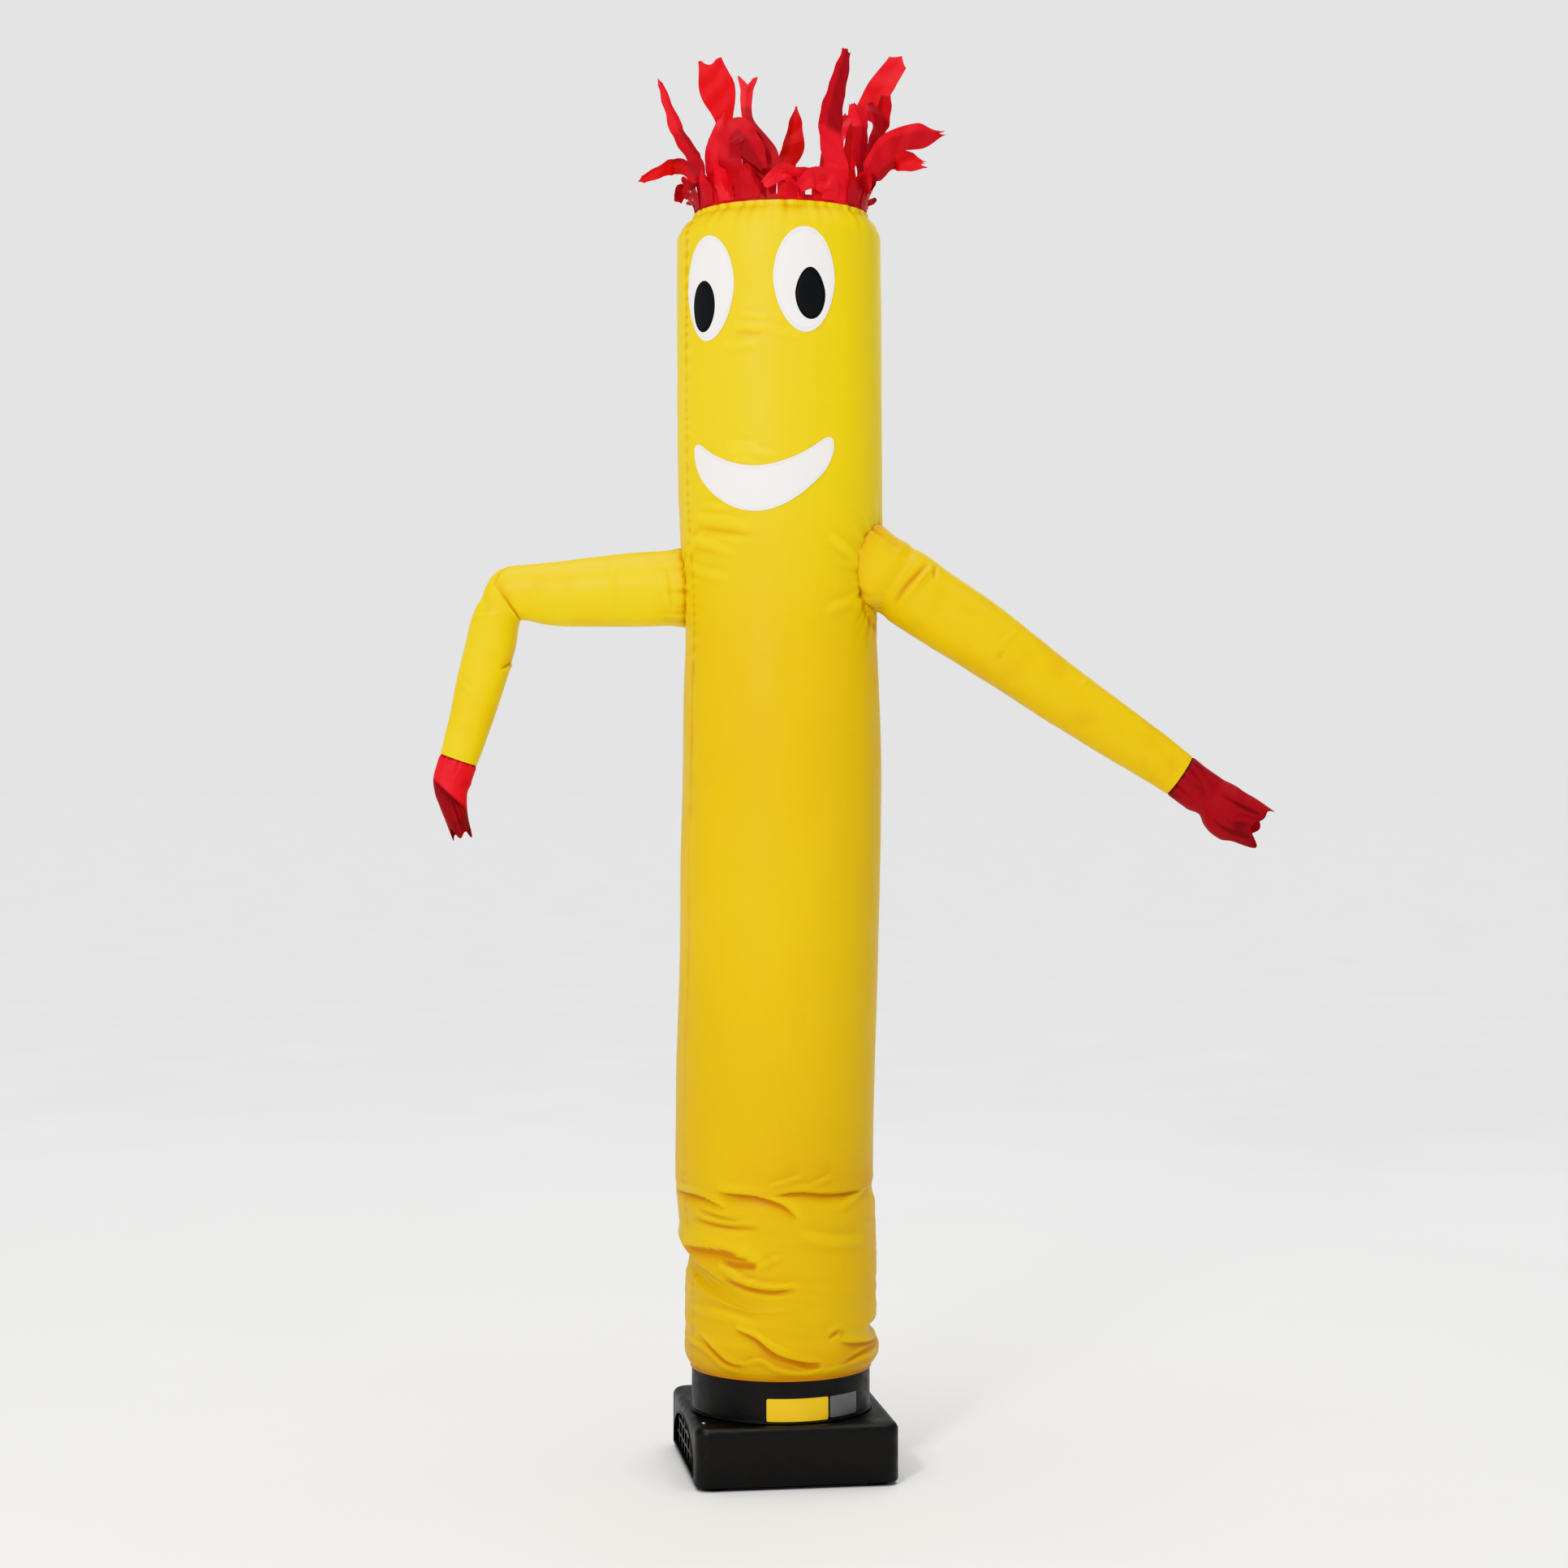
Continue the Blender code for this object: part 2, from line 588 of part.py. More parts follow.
def make_hand(name, stations, side, rag):
    points = sleeve_points(stations, side, rag=rag)
    hand = add_piece(name, points, sleeve_faces(len(stations), ARM_SIDES), "red_cloth")
    thicken(hand, CLOTH)


# ---------------------------------------------------------------- face


def make_oval(name, oval, finish, lift):
    """A sewn-on oval that follows the tube."""
    rows, columns = 9, 11
    points = []
    for row in range(rows):
        climb = -math.cos(math.pi * (OVAL_CUT + (1.0 - 2.0 * OVAL_CUT) * row / (rows - 1)))
        half = oval.half_wide * math.sqrt(1.0 - climb * climb)
        half *= 1.0 + oval.narrowing * min(climb, 0.0)
        for column in range(columns):
            share = -1.0 + 2.0 * column / (columns - 1)
            degrees = oval.angle + math.degrees(share * half / FACE_RADIUS)
            points.append(on_tube(degrees, oval.height + oval.half_tall * climb, lift))
    patch = add_piece(name, points, sheet_faces(rows, columns), finish)
    thicken(patch, PATCH, outward=True)


def make_mouth():
    """The crescent, wide at its middle and narrow at both tips."""
    rows, columns = 4, 27
    points = []
    for row in range(rows):
        level = row / (rows - 1)
        for column in range(columns):
            share = -1.0 + 2.0 * column / (columns - 1)
            tip = MOUTH_TIPS + MOUTH_LEAN * share
            upper = tip - MOUTH_UPPER_SAG * (1.0 - abs(share) ** MOUTH_UPPER_CURVE) + MOUTH_TIP_HALF
            curve = MOUTH_LOWER_CURVE[share > 0.0]
            lower = tip - MOUTH_LOWER_SAG * (1.0 - abs(share) ** curve) - MOUTH_TIP_HALF
            height = lower + level * (upper - lower)
            points.append(on_tube(MOUTH_ANGLE + MOUTH_HALF_DEG * share, height, PATCH_LIFT))
    mouth = add_piece("mouth", points, sheet_faces(rows, columns), "white_cloth")
    thicken(mouth, PATCH, outward=True)


# ---------------------------------------------------------------- crown of streamers


def streamer_run(points, share):
    """A point on the smooth curve through the four points, and its direction there."""
    spans = len(points) - 1
    span = min(int(share * spans), spans - 1)
    t = share * spans - span
    before = points[span - 1] if span else points[0] - Vector((0.0, 0.0, STREAMER_RISE))
    here, ahead = points[span], points[span + 1]
    after = points[span + 2] if span + 2 <= spans else ahead * 2 - here
    leave, arrive = (ahead - before) / 2, (after - here) / 2
    point = here * (2 * t**3 - 3 * t**2 + 1) + leave * (t**3 - 2 * t**2 + t)
    point += ahead * (3 * t**2 - 2 * t**3) + arrive * (t**3 - t**2)
    heading = (here - ahead) * (6 * t**2 - 6 * t) + leave * (3 * t**2 - 4 * t + 1)
    heading += arrive * (3 * t**2 - 2 * t)
    return point, heading.normalized()


def streamer_width(streamer, root_width, share):
    """The width at this share of the run, eased between the stated ones."""
    widths = (root_width, *streamer.wide)
    upper = next((k for k, station in enumerate(WIDTH_SHARES) if share < station), len(widths) - 1)
    low, high = WIDTH_SHARES[upper - 1], WIDTH_SHARES[upper]
    blend = ease((share - low) / (high - low))
    return widths[upper - 1] + (widths[upper] - widths[upper - 1]) * blend


def streamer_rings(streamer):
    """Four-sided rings up the streamer, past its root on the strip."""
    root = math.radians(streamer.root)
    middle = STRIP_RADIUS - STRIP_THICK / 2
    start = Vector((middle * math.sin(root), -middle * math.cos(root), STRIP_HIGH))
    run = [start] + [Vector(point) for point in (streamer.low, streamer.high, streamer.tip)]
    root_width = 2.0 * middle * math.sin(math.radians(STRIP_HALF_DEG))
    across = Vector((math.cos(root), math.sin(root), 0.0))
    turn = math.radians(streamer.turn) / STREAMER_ROWS
    rings = []
    for row in range(1, STREAMER_ROWS + 1):
        share = row / STREAMER_ROWS
        point, heading = streamer_run(run, share)
        across = Matrix.Rotation(turn, 3, heading) @ across
        across = (across - heading * across.dot(heading)).normalized()
        lift = across.cross(heading) * (STRIP_THICK / 2)
        half = across * streamer_width(streamer, root_width, share) / 2
        front, back = point + lift, point - lift
        rings.append((front - half, front + half, back + half, back - half))
    return rings


def join_rings(comb, ring, above):
    """The four sides between two rings; both broad sides are split along the same diagonal."""
    comb.faces.new((ring[0], ring[1], above[1]))
    comb.faces.new((ring[0], above[1], above[0]))
    comb.faces.new((ring[1], ring[2], above[2], above[1]))
    comb.faces.new((ring[2], ring[3], above[2]))
    comb.faces.new((ring[3], above[3], above[2]))
    comb.faces.new((ring[3], ring[0], above[0], above[3]))


def make_comb(name, streamers):
    """Three streamers and the narrow strip that they are cut from, as one piece."""
    comb = bmesh.new()
    edges = [s.root + end for s in streamers for end in (-STRIP_HALF_DEG, STRIP_HALF_DEG)]
    posts = []
    for degrees in edges:
        angle = math.radians(degrees)
        outward = Vector((math.sin(angle), -math.cos(angle), 0.0))
        outer, inner = outward * STRIP_RADIUS, outward * (STRIP_RADIUS - STRIP_THICK)
        low, high = Vector((0.0, 0.0, STRIP_LOW)), Vector((0.0, 0.0, STRIP_HIGH))
        posts.append([comb.verts.new(p) for p in (outer + low, inner + low, outer + high, inner + high)])
    for cell, (left, right) in enumerate(zip(posts, posts[1:])):
        comb.faces.new((left[0], right[0], right[2], left[2]))
        comb.faces.new((right[1], left[1], left[3], right[3]))
        comb.faces.new((left[1], right[1], right[0], left[0]))
        ring = [left[2], right[2], right[3], left[3]]
        if cell % 2 == 0:
            for corners in streamer_rings(streamers[cell // 2]):
                above = [comb.verts.new(corner) for corner in corners]
                join_rings(comb, ring, above)
                ring = above
        comb.faces.new(ring)
    comb.faces.new((posts[0][1], posts[0][0], posts[0][2], posts[0][3]))
    comb.faces.new((posts[-1][0], posts[-1][1], posts[-1][3], posts[-1][2]))
    mesh = bpy.data.meshes.new(name)
    comb.to_mesh(mesh)
    comb.free()
    mesh.shade_smooth()
    mesh.set_sharp_from_angle(angle=math.radians(50))
    mesh.materials.append(make_finish("red_cloth"))
    bpy.context.scene.collection.objects.link(bpy.data.objects.new(name, mesh))


# ---------------------------------------------------------------- blower


def rounded_outline(half_x, half_y, corner, height):
    """A level rectangle with round corners, anticlockwise from above."""
    steps = 4
    points = []
    for quarter, (x_sign, y_sign) in enumerate(((1, 1), (-1, 1), (-1, -1), (1, -1))):
        x, y = x_sign * (half_x - corner), y_sign * (half_y - corner)
        for k in range(steps + 1):
            angle = math.tau / 4 * (quarter + k / steps)
            points.append((x + corner * math.cos(angle), y + corner * math.sin(angle), height))
    return points


def housing_outline(inset, corner, height):
    """An outline of the housing, this far inside its sides."""
    return rounded_outline(HOUSING_WIDE / 2 - inset, HOUSING_DEEP / 2 - inset, corner, height)


def make_housing(blower):
    """The moulded shell, open below, with an arched window in its left side."""
    outlines = [housing_outline(*loop) for loop in HOUSING_LOOPS]
    points = [point for outline in outlines for point in outline]
    faces = closed_faces(len(outlines), len(outlines[0]))
    housing = add_piece("blower_housing", points, faces, "black_plastic", blower)
    cut(housing, make_intake_cutter(blower))


def make_intake_cutter(blower):
    """An arched prism through the left wall."""
    rise = INTAKE_HIGH - INTAKE_LOW
    outline = []
    for k in range(INTAKE_STEPS + 1):
        angle = math.pi * k / INTAKE_STEPS
        y = INTAKE_WIDTH / 2 * math.cos(angle)
        outline.append((y, INTAKE_LOW + rise * abs(math.sin(angle)) ** INTAKE_SQUARENESS))
    points = [(x - HOUSING_WIDE / 2, y, z) for x in INTAKE_CUT for y, z in outline]
    return add_helper("intake_cutter", points, closed_faces(2, len(outline)), blower)


def make_base_plate(blower):
    """The underside, with a low square pad between the feet."""
    inset = HOUSING_WALL + SEAT_GAP
    corner = HOUSING_CORNER - HOUSING_WALL
    pad = PAD_SIDE / 2
    outlines = (
        rounded_outline(pad, pad, PAD_CORNER, HOUSING_BOTTOM - PAD_DROP),
        rounded_outline(pad, pad, PAD_CORNER, HOUSING_BOTTOM),
        housing_outline(inset, corner, HOUSING_BOTTOM),
        housing_outline(inset, corner, HOUSING_BOTTOM + PLATE_THICK),
    )
    points = [point for outline in outlines for point in outline]
    faces = closed_faces(len(outlines), len(outlines[0]))
    add_piece("base_plate", points, faces, "black_plastic", blower)


def make_guard(blower):
    """The slotted grille inside the arched intake."""
    columns, rows = 2 * GUARD_SLOTS + 2, 2 * GUARD_ROWS + 2
    x = -HOUSING_WIDE / 2 + HOUSING_WALL + SEAT_GAP
    points = []
    for row in range(rows):
        for column in range(columns):
            y = GUARD_WIDTH * (0.5 - share_along(column, columns))
            points.append((x, y, GUARD_LOW + (GUARD_HIGH - GUARD_LOW) * share_along(row, rows)))
    faces = [
        face
        for k, face in enumerate(sheet_faces(rows, columns))
        if not (k % (columns - 1)) % 2 or not (k // (columns - 1)) % 2
    ]
    guard = add_piece("intake_guard", points, faces, "black_plastic", blower)
    thicken(guard, GUARD_THICK)


def share_along(index, count):
    """Where line number index of count lies, when equal bars part equal slots."""
    cells = (count - 1) // 2
    bar = GUARD_BARS / (cells + 1)
    slot = (1.0 - GUARD_BARS) / cells
    return (index + 1) // 2 * bar + index // 2 * slot


def make_drum():
    """The round outlet, a short open pipe with a bead round its foot."""
    low = HOUSING_TOP + SEAT_GAP
    bead = DRUM_RADIUS + DRUM_BEAD
    profile = (
        (DRUM_RADIUS - DRUM_WALL, DRUM_TOP),
        (DRUM_RADIUS - DRUM_WALL, low),
        (bead, low),
        (bead, low + DRUM_BEAD),
        (DRUM_RADIUS, low + DRUM_BEAD + 0.001),
        (DRUM_RADIUS, DRUM_TOP),
    )
    faces = sleeve_faces(len(profile), TUBE_SIDES)
    last = (len(profile) - 1) * TUBE_SIDES
    for side in range(TUBE_SIDES):
        after = (side + 1) % TUBE_SIDES
        faces.append((last + side, last + after, after, side))
    add_piece("outlet_drum", turned(profile, TUBE_SIDES), faces, "black_plastic")


def make_foot(name, x, y, blower):
    """A round rubber foot with a rounded lower edge."""
    profile = (
        (FOOT_TREAD, 0.0),
        (FOOT_RADIUS - 0.0015, 0.004),
        (FOOT_RADIUS, HOUSING_BOTTOM - SEAT_GAP),
    )
    points = turned(profile, FOOT_SIDES, x, y)
    add_piece(name, points, closed_faces(len(profile), FOOT_SIDES), "rubber", blower)


def make_screw(blower):
    """The domed head of the housing's screw."""
    low = HOUSING_TOP + SEAT_GAP
    profile = ((SCREW_RADIUS, low), (SCREW_RADIUS, low + 0.0010), (SCREW_RADIUS * 0.6, low + 0.0026))
    points = turned(profile, SCREW_SIDES, *SCREW_PLACE)
    add_piece("housing_screw", points, closed_faces(len(profile), SCREW_SIDES), "steel", blower)


def make_plate(name, plate, finish):
    """A blank plate bent round the drum."""
    step = 360.0 / TUBE_SIDES
    inner_edges = range(math.ceil(plate.start / step), math.floor(plate.end / step) + 1)
    angles = [plate.start] + [edge * step for edge in inner_edges] + [plate.end]
    points = [
        on_facets(degrees, DRUM_RADIUS, SEAT_GAP, height)
        for height in (plate.low, plate.high)
        for degrees in angles
    ]
    sheet = add_piece(name, points, sheet_faces(2, len(angles)), finish)
    thicken(sheet, PLATE_SHEET, outward=True)


# ---------------------------------------------------------------- the whole


def make_figure():
    left_arm = UPPER_ARM_LEFT + elbow_stations() + FOREARM_LEFT
    holes = (
        make_arm_hole("arm_hole_left", UPPER_ARM_LEFT, -1),
        make_arm_hole("arm_hole_right", ARM_RIGHT, 1),
    )
    make_tube(holes)
    make_top_panel()
    envelope = make_tube_envelope()
    make_arm("arm_left", left_arm, -1, envelope)
    make_arm("arm_right", ARM_RIGHT, 1, envelope)
    make_hand("hand_left", HAND_LEFT, -1, HAND_LEFT_RAG)
    make_hand("hand_right", HAND_RIGHT, 1, HAND_RIGHT_RAG)
    for side in ("left", "right"):
        make_oval("eye_" + side, EYES[side], "white_cloth", PATCH_LIFT)
        make_oval("pupil_" + side, PUPILS[side], "black_cloth", PATCH_LIFT + PATCH + PUPIL_LIFT)
    make_mouth()
    for name, streamers in COMBS.items():
        make_comb(name, streamers)


def make_blower():
    blower = bpy.data.objects.new("blower", None)
    blower.location = (*HOUSING_CENTRE, 0.0)
    blower.rotation_euler.z = HOUSING_TURN
    bpy.context.scene.collection.objects.link(blower)
    make_housing(blower)
    make_base_plate(blower)
    make_guard(blower)
    make_screw(blower)
    reach_x, reach_y = HOUSING_WIDE / 2 - FOOT_INSET, HOUSING_DEEP / 2 - FOOT_INSET
    for depth, y in (("front", -reach_y), ("back", reach_y)):
        for side, x in (("left", -reach_x), ("right", reach_x)):
            make_foot(f"foot_{depth}_{side}", x, y, blower)
    make_drum()
    make_plate("plate_yellow", PLATES["plate_yellow"], "yellow_plate")
    make_plate("plate_grey", PLATES["plate_grey"], "grey_plate")


clear_scene()
make_figure()
make_blower()
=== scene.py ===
"""Looks of the inflatable air dancer: its cloth, face, crown, blower and a pale studio.

Metres, +Z up, -Y towards the viewer. Left and right are the viewer's, facing the figure. An angle
round the tube is measured from the front, positive towards the right.
"""

from __future__ import annotations

import logging
import math
import random
from collections.abc import Iterator, Sequence
from contextlib import contextmanager
from dataclasses import dataclass
from enum import Enum
from functools import cache
from typing import Any

import bmesh
import bpy
import numpy as np
from mathutils import Matrix, Vector, noise


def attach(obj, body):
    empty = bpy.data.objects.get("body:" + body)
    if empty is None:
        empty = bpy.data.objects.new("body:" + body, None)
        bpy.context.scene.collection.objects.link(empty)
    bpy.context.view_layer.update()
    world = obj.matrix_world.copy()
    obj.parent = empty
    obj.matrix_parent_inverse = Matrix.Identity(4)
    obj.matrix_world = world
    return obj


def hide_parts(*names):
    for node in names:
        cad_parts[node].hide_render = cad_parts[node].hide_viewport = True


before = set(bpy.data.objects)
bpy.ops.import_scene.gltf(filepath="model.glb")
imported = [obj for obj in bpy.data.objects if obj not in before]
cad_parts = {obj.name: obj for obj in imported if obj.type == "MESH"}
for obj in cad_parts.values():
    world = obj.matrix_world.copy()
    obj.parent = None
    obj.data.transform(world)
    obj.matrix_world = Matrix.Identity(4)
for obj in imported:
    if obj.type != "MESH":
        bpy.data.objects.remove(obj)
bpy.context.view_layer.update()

LOG = logging.getLogger("air_dancer")
Array = np.ndarray
Colour = tuple[float, float, float]
Point = tuple[float, float, float]


class Slot(str, Enum):
    """The record's material slots."""

    YELLOW = "yellow_cloth"
    RED = "red_cloth"
    WHITE = "white_cloth"
    BLACK = "black_cloth"
    PLASTIC = "black_plastic"
    RUBBER = "rubber"
    STEEL = "steel"
    YELLOW_PLATE = "yellow_plate"
    GREY_PLATE = "grey_plate"


class Hold(str, Enum):
    """How a sheet of cloth is held."""

    STRETCHED = "stretched"


class Fold(Enum):
    """The section of a crease, across its line."""

    RIDGE = "ridge"
    TROUGH = "trough"
    LAP = "lap"


RIDGE, TROUGH, LAP = Fold


# ---------------------------------------------------------------- shaders


class Shader:
    """A material's nodes, added one at a time round its principled shader."""

    def __init__(self, name: str) -> None:
        """Makes the material.

        Args:
            name: The material's name.
        """
        self.material = bpy.data.materials.new(name)
        self.material.use_nodes = True
        self.tree = self.material.node_tree
        self.surface = self.tree.nodes["Principled BSDF"]

    def add(self, kind: str, settings: dict[str, Any] | None = None, **inputs: Any) -> bpy.types.Node:
        """Adds a node.

        Args:
            kind: Its type, without the ShaderNode prefix.
            settings: Its properties.
            inputs: Its sockets by name, with _ for a space, or by place as in0, in1 and so on.

        Returns:
            The node.
        """
        node = self.tree.nodes.new("ShaderNode" + kind)
        for key, value in (settings or {}).items():
            setattr(node, key, value)
        for key, value in inputs.items():
            numbered = key[:2] == "in" and key[2:].isdigit()
            self.feed(node, int(key[2:]) if numbered else key.replace("_", " "), value)
        return node

    def feed(self, node: bpy.types.Node, socket: str | int, value: Any) -> None:
        """Links or sets one input socket.

        Args:
            node: The node that takes it.
            socket: The socket's name or place.
            value: An output socket, a number, a colour or a vector.
        """
        target = node.inputs[socket]
        if isinstance(value, bpy.types.NodeSocket):
            self.tree.links.new(value, target)
        else:
            target.default_value = value

    def math(self, kind: str, first: Any, second: Any = 0.0) -> bpy.types.NodeSocket:
        """A Math node's output.

        Args:
            kind: The operation.
            first: Its first value.
            second: Its second value.

        Returns:
            The output socket.
        """
        return self.add("Math", {"operation": kind}, in0=first, in1=second).outputs[0]

    def remap(
        self, value: Any, low: float, high: float, to_low: float, to_high: float
    ) -> bpy.types.NodeSocket:
        """A value's range moved to another, and held inside it.

        Args:
            value: The socket.
            low: Where the old range starts.
            high: Where it ends.
            to_low: Where the new range starts.
            to_high: Where it ends.

        Returns:
            The output socket.
        """
        return self.add("MapRange", None, in0=value, in1=low, in2=high, in3=to_low, in4=to_high).outputs[0]

    def speckle(
        self, where: Any, scale: float, detail: float = 3.0, rough: float = 0.55
    ) -> bpy.types.NodeSocket:
        """Soft noise.

        Args:
            where: The coordinates.
            scale: How many spots to a metre.
            detail: How many finer layers it has.
            rough: How strong those are.

        Returns:
            The noise from 0 to 1.
        """
        spots = self.add("TexNoise", None, Vector=where, Scale=scale, Detail=detail, Roughness=rough)
        return spots.outputs[0]

    def blend(self, share: Any, first: Any, second: Any) -> bpy.types.NodeSocket:
        """Two colours mixed.

        Args:
            share: How much of the second.
            first: The first colour.
            second: The second colour.

        Returns:
            The colour socket.
        """
        kind = {"data_type": "RGBA", "clamp_factor": True}
        return self.add("Mix", kind, in0=share, in6=paint(first), in7=paint(second)).outputs[2]

    def raise_by(
        self, height: Any, distance: float, strength: float, under: Any = None
    ) -> bpy.types.NodeSocket:
        """A Bump node.

        Args:
            height: The height from 0 to 1.
            distance: What 1 stands for, in metres.
            strength: How much of it shows.
            under: The normal of a coarser bump.

        Returns:
            The normal socket.
        """
        node = self.add("Bump", None, Height=height, Distance=distance, Strength=strength)
        if under is not None:
            self.feed(node, "Normal", under)
        return node.outputs[0]

    def dress(self, **inputs: Any) -> bpy.types.Material:
        """Sets the principled shader's sockets.

        Args:
            inputs: The sockets by name, with _ for a space.

        Returns:
            The finished material.
        """
        for key, value in inputs.items():
            self.feed(self.surface, key.replace("_", " "), value)
        return self.material


def paint(colour: Any) -> Any:
    """A colour with its fourth number, or a socket as it is."""
    return colour if isinstance(colour, bpy.types.NodeSocket) else (*colour[:3], 1.0)


@dataclass(frozen=True)
class ClothFinish:
    """Proofed woven cloth with a grid of heavier threads, and painted shade mixed into its colour, as inside
    its folds.
    """

    slot: Slot
    colour: Colour
    # deep is the colour of painted shade.
    deep: Colour
    roughness: float
    sheen: float
    glow: float
    grid: float
    crumple: float

    def material(self) -> bpy.types.Material:
        """The cloth's material, which reads its UV map in metres and its attribute of painted shade.

        Returns:
            The material.
        """
        shader = Shader(self.slot.value)
        flat = shader.add("UVMap", {"uv_map": "cloth"}).outputs[0]
        solid = shader.add("TexCoord").outputs["Object"]
        along = shader.add("SeparateXYZ", None, Vector=flat)
        threads = []
        for axis in (0, 1):
            wave = shader.math("PINGPONG", along.outputs[axis], self.grid / 2)
            threads.append(shader.remap(wave, 0.40 * self.grid, 0.5 * self.grid, 0.0, 1.0))
        grid = shader.math("MAXIMUM", threads[0], threads[1])
        weave = shader.speckle(flat, 900.0, 2.0, 0.6)
        height = shader.math("ADD", shader.math("MULTIPLY", grid, 0.7), shader.math("MULTIPLY", weave, 0.5))
        crumple = shader.speckle(solid, 11.0, 5.0, 0.52)
        patches = shader.speckle(solid, 2.3, 2.0, 0.5)
        normal = shader.raise_by(crumple, 0.010, self.crumple)
        normal = shader.raise_by(height, 0.0003, 0.35, normal)
        # Painted shade from the mesh, mixed below with random worn patches and the darker threads.
        painted_shade = shader.add("Attribute", {"attribute_name": "painted_shade"}).outputs["Fac"]
        worn = shader.remap(patches, 0.35, 0.70, 0.0, 0.10)
        share = shader.math("ADD", painted_shade, worn)
        share = shader.math("ADD", share, shader.math("MULTIPLY", grid, 0.05))
        tint = shader.blend(share, self.colour, self.deep)
        rough = shader.remap(crumple, 0.3, 0.7, self.roughness - 0.05, self.roughness + 0.06)
        return shader.dress(
            Base_Color=tint,
            Roughness=rough,
            Normal=normal,
            Specular_IOR_Level=0.32,
            Sheen_Weight=self.sheen,
            Sheen_Roughness=0.35,
            Subsurface_Weight=self.glow,
            Subsurface_Radius=(1.0, 0.55, 0.2),
            Subsurface_Scale=0.012,
        )


@dataclass(frozen=True)
class MouldedFinish:
    """Grained moulded plastic or rubber with worn, dusty places."""

    slot: Slot
    colour: Colour
    dust: Colour
    roughness: float
    grain: float

    def material(self) -> bpy.types.Material:
        """The moulding's material.

        Returns:
            The material.
        """
        shader = Shader(self.slot.value)
        solid = shader.add("TexCoord").outputs["Object"]
        grain = shader.speckle(solid, 620.0, 2.0, 0.6)
        scuffs = shader.speckle(solid, 34.0, 6.0, 0.66)
        sag = shader.speckle(solid, 5.0, 2.0, 0.5)
        normal = shader.add("NewGeometry").outputs["Normal"]
        upward = shader.add("SeparateXYZ", None, Vector=normal).outputs[2]
        lying = shader.remap(upward, 0.5, 1.0, 0.0, 0.30)
        marks = shader.remap(scuffs, 0.52, 0.72, 0.0, 0.55)
        dusty = shader.math("MULTIPLY", marks, shader.math("ADD", lying, 0.12))
        normal = shader.raise_by(sag, 0.004, 0.15)
        normal = shader.raise_by(grain, 0.00035, self.grain, normal)
        return shader.dress(
            Base_Color=shader.blend(dusty, self.colour, self.dust),
            Roughness=shader.remap(scuffs, 0.3, 0.75, self.roughness, self.roughness + 0.22),
            Normal=normal,
        )


@dataclass(frozen=True)
class SteelFinish:
    """Bright turned steel."""

    slot: Slot
    colour: Colour

    def material(self) -> bpy.types.Material:
        """The steel's material.

        Returns:
            The material.
        """
        shader = Shader(self.slot.value)
        solid = shader.add("TexCoord").outputs["Object"]
        lines = shader.speckle(solid, 2600.0, 2.0, 0.5)
        return shader.dress(
            Base_Color=shader.blend(shader.remap(lines, 0.3, 0.7, 0.0, 0.3), self.colour, (0.4, 0.4, 0.42)),
            Metallic=1.0,
            Roughness=shader.remap(lines, 0.3, 0.7, 0.18, 0.34),
        )


@dataclass(frozen=True)
class PlateFinish:
    """A printed film plate with nothing on it but a few scuffs."""

    slot: Slot
    colour: Colour
    worn: Colour

    def material(self) -> bpy.types.Material:
        """The plate's material.

        Returns:
            The material.
        """
        shader = Shader(self.slot.value)
        solid = shader.add("TexCoord").outputs["Object"]
        scuffs = shader.speckle(solid, 14.0, 3.0, 0.5)
        waves = shader.speckle(solid, 40.0, 2.0, 0.5)
        return shader.dress(
            Base_Color=shader.blend(shader.remap(scuffs, 0.35, 0.75, 0.0, 0.22), self.colour, self.worn),
            Roughness=shader.remap(scuffs, 0.3, 0.7, 0.30, 0.5),
            Normal=shader.raise_by(waves, 0.0008, 0.2),
        )


# The second colour of each cloth is its painted shade.
YELLOW_CLOTH = ClothFinish(
    Slot.YELLOW, (0.84, 0.645, 0.009), (0.54, 0.200, 0.002), 0.46, 0.02, 0.03, 0.0062, 0.16
)
RED_CLOTH = ClothFinish(Slot.RED, (0.80, 0.018, 0.030), (0.17, 0.001, 0.004), 0.58, 0.02, 0.04, 0.0062, 0.12)
WHITE_CLOTH = ClothFinish(Slot.WHITE, (0.88, 0.865, 0.86), (0.60, 0.48, 0.44), 0.55, 0.06, 0.0, 0.0040, 0.14)
BLACK_CLOTH = ClothFinish(
    Slot.BLACK, (0.010, 0.011, 0.012), (0.003, 0.003, 0.003), 0.46, 0.10, 0.0, 0.0040, 0.20
)
BLACK_PLASTIC = MouldedFinish(Slot.PLASTIC, (0.005, 0.005, 0.0055), (0.07, 0.07, 0.07), 0.40, 0.30)
RUBBER = MouldedFinish(Slot.RUBBER, (0.014, 0.014, 0.014), (0.09, 0.085, 0.08), 0.66, 0.40)
STEEL = SteelFinish(Slot.STEEL, (0.72, 0.72, 0.73))
YELLOW_PLATE = PlateFinish(Slot.YELLOW_PLATE, (0.85, 0.55, 0.02), (0.55, 0.33, 0.03))
GREY_PLATE = PlateFinish(Slot.GREY_PLATE, (0.13, 0.135, 0.14), (0.26, 0.26, 0.26))

Finish = ClothFinish | MouldedFinish | SteelFinish | PlateFinish


@cache
def material_of(finish: Finish) -> bpy.types.Material:
    """The finish's material, made once.

    Args:
        finish: The finish.

    Returns:
        The material.
    """
    material = finish.material()
    material.name = "look_" + finish.slot.value
    return material


# ---------------------------------------------------------------- making pieces


def link_mesh(name: str, mesh: bpy.types.Mesh, finish: Finish) -> bpy.types.Object:
    """Puts a mesh in the scene as a smooth piece of this finish.

    Args:
        name: The piece's name.
        mesh: Its mesh.
        finish: Its finish.

    Returns:
        The piece.
    """
    mesh.shade_smooth()
    mesh.materials.append(material_of(finish))
    piece = bpy.data.objects.new(name, mesh)
    bpy.context.scene.collection.objects.link(piece)
    return piece


